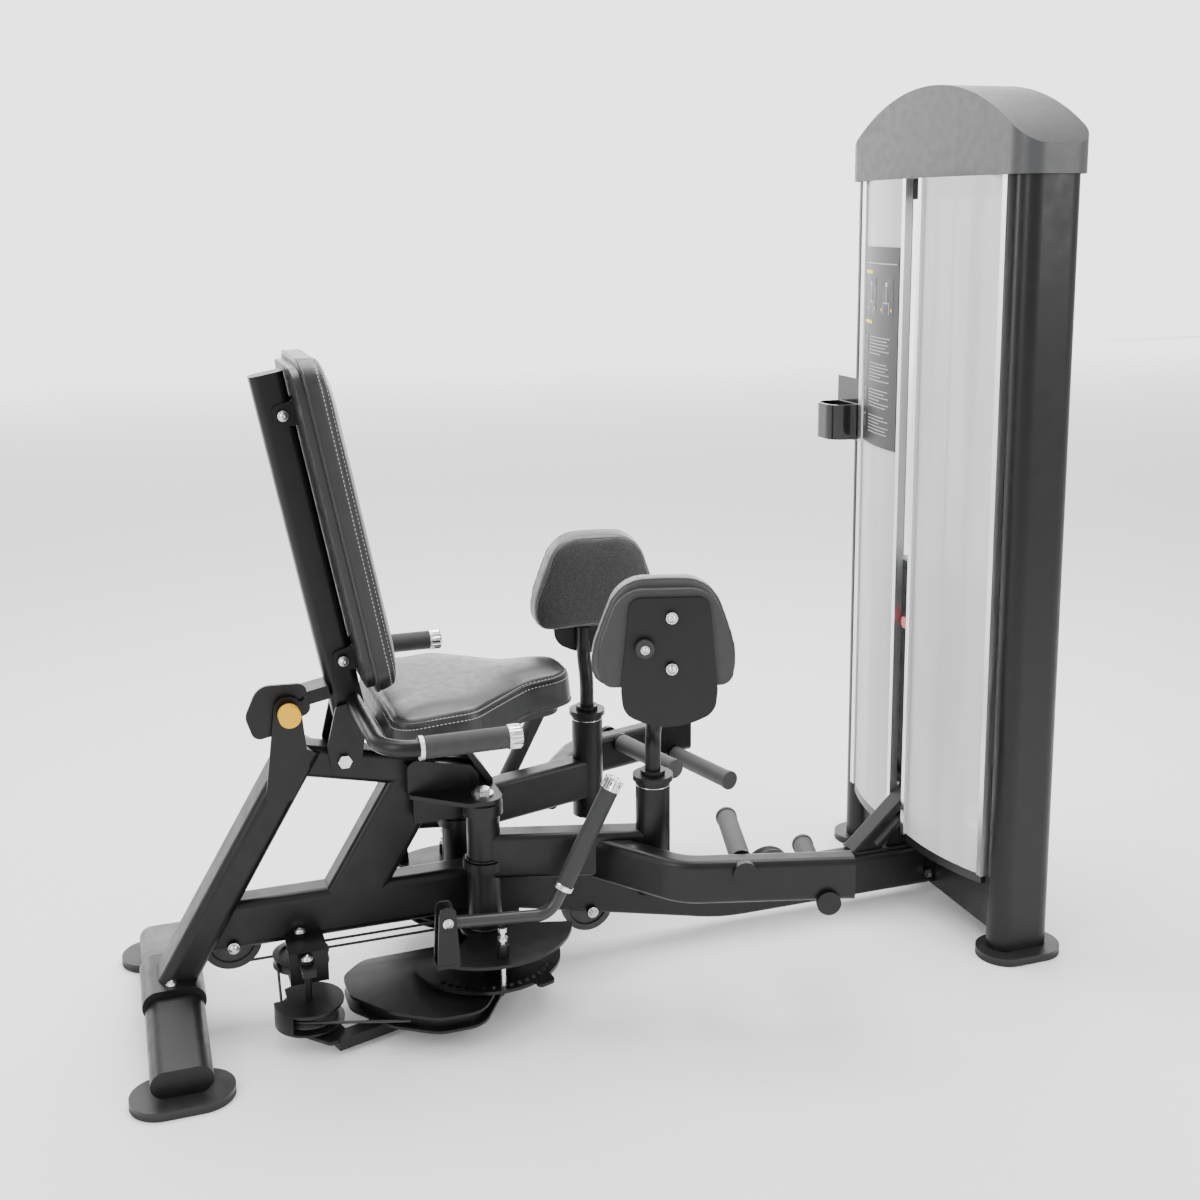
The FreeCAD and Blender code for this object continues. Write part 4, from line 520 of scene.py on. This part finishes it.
def lathe(work, profile, at, way, sides=24, notches=0, notch_depth=0.0):
    """A turned form: profile is (distance along, radius), closed at both ends."""
    way = way.normalized()
    turn = way.to_track_quat("Z", "Y").to_matrix()
    rings = []
    for along, radius in profile:
        ring = []
        for step in range(sides):
            angle = 2 * math.pi * step / sides
            cut = notch_depth if notches and (step * notches // sides + step) % 2 else 0.0
            own = max(radius - cut, 0.0001)
            local = Vector((own * math.cos(angle), own * math.sin(angle), along))
            ring.append(work.verts.new(at + turn @ local))
        rings.append(ring)
    for lower, upper in zip(rings, rings[1:]):
        for step in range(sides):
            after = (step + 1) % sides
            work.faces.new((lower[step], lower[after], upper[after], upper[step]))
    work.faces.new(list(reversed(rings[0])))
    work.faces.new(rings[-1])


def tube_loop(work, points, radius, sides=8, ripple=0.0):
    """A round bead that follows a closed row of points."""
    count = len(points)
    rings = []
    last = None
    for index, point in enumerate(points):
        way = (points[(index + 1) % count] - points[index - 1]).normalized()
        side = way.orthogonal() if last is None else last - way * last.dot(way)
        last = side = side.normalized()
        up = way.cross(side)
        own = radius * (1 + ripple * math.sin(index * 2.1))
        ring = []
        for step in range(sides):
            angle = 2 * math.pi * step / sides
            ring.append(work.verts.new(point + (side * math.cos(angle) + up * math.sin(angle)) * own))
        rings.append(ring)
    first, final = rings[0], rings[-1]
    shift = min(range(sides), key=lambda s: (first[s].co - final[0].co).length)
    pairs = list(zip(rings, rings[1:]))
    pairs.append((final, first[shift:] + first[:shift]))
    for lower, upper in pairs:
        for step in range(sides):
            after = (step + 1) % sides
            work.faces.new((lower[step], lower[after], upper[after], upper[step]))


# ---------------------------------------------------------------- soft goods

def rounded_outline(corners, radii, spacing):
    """Evenly spaced points round a polygon with rounded corners, counted anticlockwise."""
    path = []
    count = len(corners)
    for index in range(count):
        here = Vector(corners[index])
        back = (Vector(corners[index - 1]) - here).normalized()
        ahead = (Vector(corners[(index + 1) % count]) - here).normalized()
        half = back.angle(ahead) / 2
        reach = radii[index] / math.tan(half)
        centre = here + (back + ahead).normalized() * (radii[index] / math.sin(half))
        first = (here + back * reach) - centre
        final = (here + ahead * reach) - centre
        start = math.atan2(first.y, first.x)
        sweep = (math.atan2(final.y, final.x) - start + math.pi) % (2 * math.pi) - math.pi
        steps = max(3, int(abs(sweep) / 0.06))
        for step in range(steps + 1):
            angle = start + sweep * step / steps
            path.append(centre + Vector((math.cos(angle), math.sin(angle))) * radii[index])
    lengths = [0.0]
    for first, second in zip(path, path[1:] + path[:1]):
        lengths.append(lengths[-1] + (second - first).length)
    total = lengths[-1]
    wanted = max(12, round(total / spacing))
    points = []
    index = 0
    for step in range(wanted):
        target = total * step / wanted
        while lengths[index + 1] < target:
            index += 1
        share = (target - lengths[index]) / max(lengths[index + 1] - lengths[index], 1e-9)
        points.append(path[index].lerp(path[(index + 1) % len(path)], share))
    return points


def inward(points, index):
    """The direction into an anticlockwise outline at one of its points."""
    along = points[(index + 1) % len(points)] - points[index - 1]
    return Vector((-along.y, along.x)).normalized()


REMESH_VOXEL = 0.0055
CLOTH_PRESSURE = 4.0
CLOTH_FRAMES = 20


class Cushion:
    """A stitched foam pad. Its plan lies in the local x and y, its depth along local z."""

    def __init__(self, name, node, body, place, corners, radii, low, high, mats, swell, top=None):
        self.name, self.node, self.body, self.place = name, node, body, place
        self.corners = [(x * MM, y * MM) for x, y in corners]
        self.radii = [radius * MM for radius in radii]
        self.low, self.high = low * MM, high * MM
        self.mats = mats
        self.swell = swell
        self.top = top
        self.outline = rounded_outline(self.corners, self.radii, 0.004)
        self.lookup = KDTree(len(self.outline))
        for index, point in enumerate(self.outline):
            self.lookup.insert((point.x, point.y, 0), index)
        self.lookup.balance()
        self.make()

    def inside(self, x, y):
        """Distance inwards from the outline."""
        return self.lookup.find((x, y, 0))[2]

    def lift(self, x, y, z):
        """The height after the top's own slope, which top gives as a share of the depth."""
        if self.top is None:
            return z
        return self.low + (z - self.low) * self.top(x, y)

    def block(self):
        """The plain foam block: rounded long edges and a flat top; make() adds the crown later."""
        inset = 0.003
        depth = self.high - self.low - self.swell
        edge = 0.013
        work = bmesh.new()
        rings = []
        levels = [(0.0, 0.002), (0.004, 0.0), (depth - edge, 0.0)]
        for step in range(1, 5):
            angle = math.pi / 2 * step / 5
            levels.append((depth - edge + edge * math.sin(angle), edge * (1 - math.cos(angle))))
        for level, draw in levels:
            ring = []
            for index, point in enumerate(self.outline):
                own = point + inward(self.outline, index) * (inset + draw)
                ring.append(work.verts.new((own.x, own.y, self.low + level)))
            rings.append(ring)
        count = len(self.outline)
        for lower, upper in zip(rings, rings[1:]):
            for index in range(count):
                after = (index + 1) % count
                work.faces.new((lower[index], lower[after], upper[after], upper[index]))
        work.faces.new(list(reversed(rings[0])))
        work.faces.new(rings[-1])
        bmesh.ops.triangulate(work, faces=[face for face in work.faces if len(face.verts) > 4])
        return from_bmesh(self.name, work)

    def inflate(self, made):
        """Air pressure on the remeshed block, with its back held flat on the board."""
        rest = [vertex.co.copy() for vertex in made.data.vertices]
        held = made.vertex_groups.new(name="held")
        held.add([i for i, co in enumerate(rest) if co.z < self.low + 0.004], 1.0, "REPLACE")
        cloth = made.modifiers.new("Cloth", "CLOTH")
        cloth.settings.use_pressure = True
        cloth.settings.uniform_pressure_force = CLOTH_PRESSURE
        cloth.settings.effector_weights.gravity = 0.0
        cloth.settings.vertex_group_mass = "held"
        cloth.settings.quality = 4
        cloth.point_cache.frame_start = 1
        cloth.point_cache.frame_end = CLOTH_FRAMES
        scene = bpy.context.scene
        for number in range(1, CLOTH_FRAMES + 1):
            scene.frame_set(number)
        seen = made.evaluated_get(bpy.context.evaluated_depsgraph_get())
        moved = [vertex.co.copy() for vertex in seen.data.vertices]
        made.modifiers.remove(cloth)
        scene.frame_set(1)
        shifts = np.array([new - old for old, new in zip(rest, moved)])
        lengths = np.linalg.norm(shifts, axis=1, keepdims=True)
        shifts *= np.minimum(1.0, self.swell / np.maximum(lengths, 1e-9))
        shifts = self.taut(made.data, shifts)
        made.data.vertices.foreach_set("co", (np.array(rest) + shifts).ravel())

    def taut(self, mesh, shifts, rounds=45):
        """Pulls the wrinkles out of the swelling, and leaves its broad shape."""
        ends = np.array([edge.vertices[:] for edge in mesh.edges])
        count = np.bincount(ends.ravel(), minlength=len(shifts))[:, None]
        for _ in range(rounds):
            total = np.zeros_like(shifts)
            np.add.at(total, ends[:, 0], shifts[ends[:, 1]])
            np.add.at(total, ends[:, 1], shifts[ends[:, 0]])
            shifts = 0.5 * shifts + 0.5 * total / count
        return shifts

    def make(self):
        made = bpy.data.objects.new(self.name, self.block())
        bpy.context.scene.collection.objects.link(made)
        remesh = made.modifiers.new("Remesh", "REMESH")
        remesh.mode = "VOXEL"
        remesh.voxel_size = REMESH_VOXEL
        self.freeze(made)
        self.inflate(made)
        for vertex in made.data.vertices:
            x, y, z = vertex.co
            depth_in = self.inside(x, y)
            if z > self.low + 0.5 * (self.high - self.low):
                crown = self.swell * 0.8 * (1 - math.exp(-depth_in / 0.05))
                seam = 0.0016 * math.exp(-((depth_in - 0.0125) / 0.0035) ** 2)
                z += crown - seam
            vertex.co = (x, y, self.lift(x, y, z))
        smooth = made.modifiers.new("Smooth", "SMOOTH")
        smooth.factor = 0.5
        smooth.iterations = 2
        finer = made.modifiers.new("Finer", "SUBSURF")
        finer.levels = finer.render_levels = 1
        self.freeze(made)
        mesh = made.data
        mesh.polygons.foreach_set("use_smooth", [True] * len(mesh.polygons))
        for mat in self.mats:
            mesh.materials.append(mat)
        # On the thigh pads the second finish, for the side band, is the lighter vinyl with painted
        # sheen.
        if len(self.mats) > 1:
            for face in mesh.polygons:
                facing = face.normal.z > 0.72 and self.inside(face.center.x, face.center.y) > 0.009
                face.material_index = 0 if facing else 1
        self.surface = BVHTree.FromPolygons(
            [vertex.co for vertex in mesh.vertices], [face.vertices for face in mesh.polygons],
        )
        mesh.transform(self.place)
        if self.place.determinant() < 0:
            mesh.flip_normals()
        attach(made, self.body)
        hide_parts(self.node)

    def freeze(self, made):
        seen = made.evaluated_get(bpy.context.evaluated_depsgraph_get())
        mesh = bpy.data.meshes.new_from_object(seen)
        made.modifiers.clear()
        made.data = mesh

    def cast(self, spacing, aim):
        """Points and normals where rays meet the pad. aim gives each ray's start and direction."""
        row = []
        outline = rounded_outline(self.corners, self.radii, spacing)
        for index, point in enumerate(outline):
            start, way = aim(point, inward(outline, index))
            hit, normal = self.surface.ray_cast(start, way)[:2]
            if hit:
                row.append((hit, normal))
        return row

    def on_side(self, height, spacing, from_board=False):
        """Points on the side band, a height below the top edge or above the board."""
        def aim(point, into):
            top = self.lift(point.x, point.y, self.high)
            level = self.low + height if from_board else top - height
            start = Vector((point.x - into.x * 0.04, point.y - into.y * 0.04, level))
            return start, Vector((into.x, into.y, 0))

        return self.cast(spacing, aim)

    def on_edge(self, spacing):
        """Points on the rounded top edge itself."""
        def aim(point, into):
            level = self.lift(point.x, point.y, self.high) - 0.006
            way = Vector((into.x, into.y, -1)).normalized()
            start = Vector((point.x + into.x * 0.004, point.y + into.y * 0.004, level))
            return start - way * 0.05, way

        return self.cast(spacing, aim)

    def stitches(self, name, rows, length=0.0046, radius=0.00065):
        """Short thread stitches, one between each pair of needle holes."""
        work = bmesh.new()
        for row in rows:
            for index, (at, normal) in enumerate(row):
                ahead = (row[(index + 1) % len(row)][0] - row[index - 1][0]).normalized()
                side = normal.cross(ahead).normalized()
                rings = []
                for share, size in ((-0.5, 0.35), (-0.3, 1.0), (0.3, 1.0), (0.5, 0.35)):
                    centre = at + ahead * (length * share) + normal * (radius * 0.25)
                    ring = []
                    for step in range(6):
                        angle = math.pi / 3 * step
                        across = side * math.cos(angle) + normal * math.sin(angle)
                        ring.append(work.verts.new(centre + across * radius * size))
                    rings.append(ring)
                for lower, upper in zip(rings, rings[1:]):
                    for step in range(6):
                        after = (step + 1) % 6
                        work.faces.new((lower[step], lower[after], upper[after], upper[step]))
                work.faces.new(list(reversed(rings[0])))
                work.faces.new(rings[-1])
        self.trim(name, work, THREAD)

    def welt(self, name, row, radius, mat, sunk=0.3):
        """A sewn bead that follows a row of points on the surface."""
        work = bmesh.new()
        tube_loop(work, [at - normal * (radius * sunk) for at, normal in row], radius)
        self.trim(name, work, mat)

    def trim(self, name, work, mat):
        bmesh.ops.transform(work, matrix=self.place, verts=work.verts)
        piece(name, from_bmesh(name, work), [mat], self.body)


def make_seat():
    corners = [
        (-405, 198), (-405, -198), (-250, -192), (-128, -88),
        (-33, -70), (-33, 70), (-128, 88), (-250, 192),
    ]
    radii = [45, 45, 60, 60, 62, 62, 60, 60]
    slope = math.tan(math.radians(2.6))
    front = -0.033
    depth = 0.0745

    def top(x, y):
        return 1 - (front - x) * slope / depth

    seat = Cushion(
        "seat_cushion", "seat_pad", "frame", Matrix.Identity(4), corners, radii, 520.3, 592,
        [SEAT_VINYL], swell=0.008, top=top,
    )
    seat.stitches("seat_stitching", [seat.on_side(height, 0.0072) for height in (0.012, 0.021)])
    seat.welt("seat_welt", seat.on_edge(0.006), 0.0021, SEAT_VINYL)
    seat.welt("seat_piping", seat.on_side(0.005, 0.006, True), 0.0026, SEAT_VINYL, sunk=0.1)


def make_back():
    corners = [(-150, 122), (150, 122), (150, 722), (-150, 722)]
    radii = [60, 60, 70, 70]
    across = Matrix(((0, 0, 1, 0), (1, 0, 0, 0), (0, 1, 0, 0), (0, 0, 0, 1)))
    back = Cushion(
        "back_cushion", "back_pad", "backrest", BACK @ across, corners, radii, 74.3, 121,
        [BACK_VINYL], swell=0.008,
    )
    back.stitches("back_stitching", [back.on_side(height, 0.0076) for height in (0.011, 0.020)])
    back.welt("back_welt", back.on_edge(0.006), 0.0016, BACK_VINYL)
    back.welt("back_piping", back.on_side(0.004, 0.006, True), 0.0028, BACK_VINYL, sunk=0.2)


def make_thigh_pads():
    corners = [(196, 592), (450, 592), (454, 655), (410, 788), (242, 788), (192, 655)]
    radii = [34, 34, 130, 70, 70, 130]
    upright = Matrix(((1, 0, 0, 0), (0, 0, 1, 0), (0, 1, 0, 0), (0, 0, 0, 1)))
    for side, place in (("right", RIGHT_ARM), ("left", LEFT_PAD)):
        # The side band, welts and piping take the band finish, whose lighter colour is painted sheen.
        pad = Cushion(
            side + "_thigh_cushion", side + "_thigh_pad", side + "_pad_body", place @ upright,
            corners, radii, -26.3, 35.4, [PAD_VINYL, BAND_VINYL_PAINTED_SHEEN], swell=0.006,
        )
        pad.welt(side + "_pad_welt", pad.on_edge(0.006), 0.0013, BAND_VINYL_PAINTED_SHEEN)
        pad.stitches(side + "_pad_stitching", [pad.on_side(0.010, 0.0052)], 0.003, 0.0005)
        pad.welt(side + "_pad_piping", pad.on_side(0.004, 0.006, True), 0.0022, BAND_VINYL_PAINTED_SHEEN, sunk=0.2)


make_seat()
make_back()
make_thigh_pads()

# ---------------------------------------------------------------- bolts, caps and beads

def bolt_on(work, at, way, across):
    """A washer and a button head with a round recess."""
    washer = across * 0.62
    head = across * 0.48
    lathe(work, [(-0.0002, washer * 0.96), (0.0016, washer), (0.002, washer * 0.93)], at, way)
    dome = []
    for step in range(6):
        angle = math.pi / 2 * step / 5
        dome.append((0.002 + head * 0.62 * math.sin(angle), max(head * math.cos(angle), head * 0.42)))
    lathe(work, dome[:-1] + [(dome[-1][0], head * 0.40), (dome[-1][0] - 0.002, head * 0.36)], at, way)


def bolts(name, body, places):
    work = bmesh.new()
    for at, way, across in places:
        bolt_on(work, at, way, across * MM)
    piece(name, from_bmesh(name, work), [ZINC], body)


def pad_bolts():
    for side, place in (("right", RIGHT_ARM), ("left", LEFT_PAD)):
        turn = place.to_3x3()
        outward = turn @ -Y_AXIS
        spots = []
        for height in (631, 722):
            spots.append((place @ mm(334, -55.7, height), outward, 17))
        spots.append((place @ mm(287, -65, 669), outward, 13))
        bolts(side + "_pad_bolts", side + "_pad_body", spots)
        work = bmesh.new()
        ring = [(-0.001, 0.0135), (0.0035, 0.0165), (0.012, 0.0175), (0.0162, 0.0155), (0.0166, 0.0085)]
        lathe(work, ring, place @ mm(287, -48.7, 669), outward, 32)
        name = side + "_pad_bumper"
        piece(name, from_bmesh(name, work), [BLACK_RUBBER], side + "_pad_body")


def back_bolts():
    spots = []
    turn = BACK.to_3x3()
    for side in (-1, 1):
        for height in (178, 622):
            spots.append((BACK @ mm(40, side * 38.2, height), turn @ (Y_AXIS * side), 15))
    bolts("back_bolts", "backrest", spots)


def frame_bolts():
    spots = []
    for side in (-1, 1):
        way = Y_AXIS * side
        for x, z in ((-669, 140), (-2, 95), (383, 98)):
            spots.append((mm(x, side * 38.4, z), way, 17))
    bolts("frame_bolts", "frame", spots)
    bolts("foot_sleeve_bolt", "frame", [(mm(-778, -50, 97.8), Z_AXIS, 15)])
    bolts("right_bracket_bolt", "right_arm_body", [(mm(-327, -237.3, 222.3), -Y_AXIS, 15)])
    bolts("side_pulley_bolts", "frame", [
        (mm(-554, -44, 154.1), Z_AXIS, 17), (mm(-554, -137, 148.1), Z_AXIS, 17),
    ])


def hub_rings():
    """The thin bright ring under the cap of each pad hub."""
    profile = [(0.0, 0.0302), (0.0001, 0.0313), (0.0012, 0.0313), (0.0013, 0.0302)]
    for side, place in (("right", RIGHT_ARM), ("left", LEFT_ARM)):
        work = bmesh.new()
        lathe(work, profile, place @ mm(305, 0, 401.5), Z_AXIS, 48)
        name = side + "_hub_ring"
        piece(name, from_bmesh(name, work), [CHROME], side + "_arm_body")


def grip_caps():
    """Bright slotted caps on the four grips."""
    cap = [
        (0.0, 0.0198), (0.001, 0.0205), (0.019, 0.0205), (0.0215, 0.0192), (0.0222, 0.0165),
        (0.0212, 0.015),
    ]
    work = bmesh.new()
    for side in (-1, 1):
        lathe(work, cap, mm(-232, side * 300, 565), X_AXIS, 48, 12, 0.0012)
    piece("handle_caps", from_bmesh("handle_caps", work), [CHROME], "backrest", smooth=False)
    for side, sign in (("right", -1), ("left", 1)):
        work = bmesh.new()
        small = [(along, radius * 0.87) for along, radius in cap]
        start = GRIP_START + Y_AXIS * (sign * 0.220)
        lathe(work, small, start + GRIP_WAY * 0.186, GRIP_WAY, 48, 12, 0.001)
        collar = [(0.0, 0.0165), (0.001, 0.0178), (0.009, 0.0178), (0.010, 0.0165)]
        lathe(work, collar, start - GRIP_WAY * 0.0075, GRIP_WAY, 48)
        name = side + "_lever_caps"
        piece(name, from_bmesh(name, work), [CHROME], side + "_lever_body", smooth=False)


def ring_points(centre, radius, count=72):
    return [
        centre + Vector((math.cos(turn), math.sin(turn), 0)) * radius
        for turn in (2 * math.pi * step / count for step in range(count))
    ]


def weld_beads():
    """Rippled weld seams round the hubs."""
    for side, pivot in (("right", PIVOT_RIGHT), ("left", PIVOT_LEFT)):
        work = bmesh.new()
        tube_loop(work, ring_points(pivot + mm(0, 0, 143), 0.0315), 0.0028, 6, ripple=0.22)
        tube_loop(work, ring_points(pivot + mm(0, 0, 273), 0.0318), 0.0022, 6, ripple=0.22)
        name = side + "_arm_welds"
        piece(name, from_bmesh(name, work), [PAINT], side + "_arm_body")


# ---------------------------------------------------------------- placard print

def circle_through(first, second, third):
    """Centre and radius of the circle through three points of the plane."""
    (ax, ay), (bx, by), (cx, cy) = first, second, third
    across = 2 * (ax * (by - cy) + bx * (cy - ay) + cx * (ay - by))
    a, b, c = ax * ax + ay * ay, bx * bx + by * by, cx * cx + cy * cy
    x = (a * (by - cy) + b * (cy - ay) + c * (ay - by)) / across
    y = (a * (cx - bx) + b * (ax - cx) + c * (bx - ax)) / across
    return x, y, math.hypot(ax - x, ay - y)


# the bow of the panel under the placard, through three points of its face
ARC_X, ARC_Y, ARC_R = circle_through((0.716, 0.255), (0.683, 0.140), (0.678, 0.025))


def print_patch(work, y_from, y_to, z_from, z_to, lift=0.0019):
    """A thin printed mark that follows the bowed placard."""
    count = max(2, int(abs(y_to - y_from) / 0.006) + 1)
    rows = []
    for z in (z_from, z_to):
        row = []
        for step in range(count):
            y = y_from + (y_to - y_from) * step / (count - 1)
            x = ARC_X - math.sqrt((ARC_R + lift) ** 2 - (y - ARC_Y) ** 2)
            row.append(work.verts.new((x, y, z)))
        rows.append(row)
    for step in range(count - 1):
        work.faces.new((rows[0][step], rows[0][step + 1], rows[1][step + 1], rows[1][step]))


RAISED = 0.0023


def placard_print():
    """Plain bars, dashes and stick figures, with no lettering."""
    light, yellow, inset = bmesh.new(), bmesh.new(), bmesh.new()
    left, right = 0.226, 0.056
    print_patch(light, left, right, 1.3015, 1.3035)
    for z in (1.288, 1.186):
        print_patch(yellow, left, left - 0.052, z - 0.007, z)
    for column in (0.180, 0.098):
        print_patch(inset, column + 0.030, column - 0.030, 1.198, 1.276)
        print_patch(light, column + 0.0015, column - 0.0015, 1.222, 1.254, RAISED)
        print_patch(light, column + 0.005, column - 0.005, 1.257, 1.266, RAISED)
        for spread in (-1, 1):
            print_patch(light, column + spread * 0.012, column + spread * 0.014, 1.202, 1.226, RAISED)
            print_patch(yellow, column + spread * 0.020, column + spread * 0.025, 1.208, 1.214, RAISED)
        print_patch(light, column + 0.014, column - 0.014, 1.2235, 1.2255, RAISED)
    for block in range(4):
        top = 1.158 - block * 0.054
        print_patch(inset, left, left - 0.030, top - 0.040, top)
        print_patch(light, left - 0.014, left - 0.016, top - 0.034, top - 0.012, RAISED)
        print_patch(light, left - 0.012, left - 0.018, top - 0.010, top - 0.004, RAISED)
        for line in range(6):
            z = top - 0.004 - line * 0.0068
            length = (0.118, 0.104, 0.112, 0.096, 0.116, 0.070)[(line + block) % 6]
            print_patch(light, left - 0.042, left - 0.042 - length * 0.9, z - 0.0016, z)
    pale = moulded("PrintPale", (0.42, 0.43, 0.44), 0.5, 0.1)
    bright = moulded("PrintYellow", (0.85, 0.62, 0.03), 0.45, 0.1)
    dark = moulded("PrintDark", (0.02, 0.021, 0.022), 0.4, 0.1)
    for name, work, mat in (
        ("placard_marks", light, pale), ("placard_dashes", yellow, bright),
        ("placard_fields", inset, dark),
    ):
        piece(name, from_bmesh(name, work), [mat], "frame", smooth=False)


pad_bolts()
back_bolts()
frame_bolts()
hub_rings()
grip_caps()
weld_beads()
placard_print()
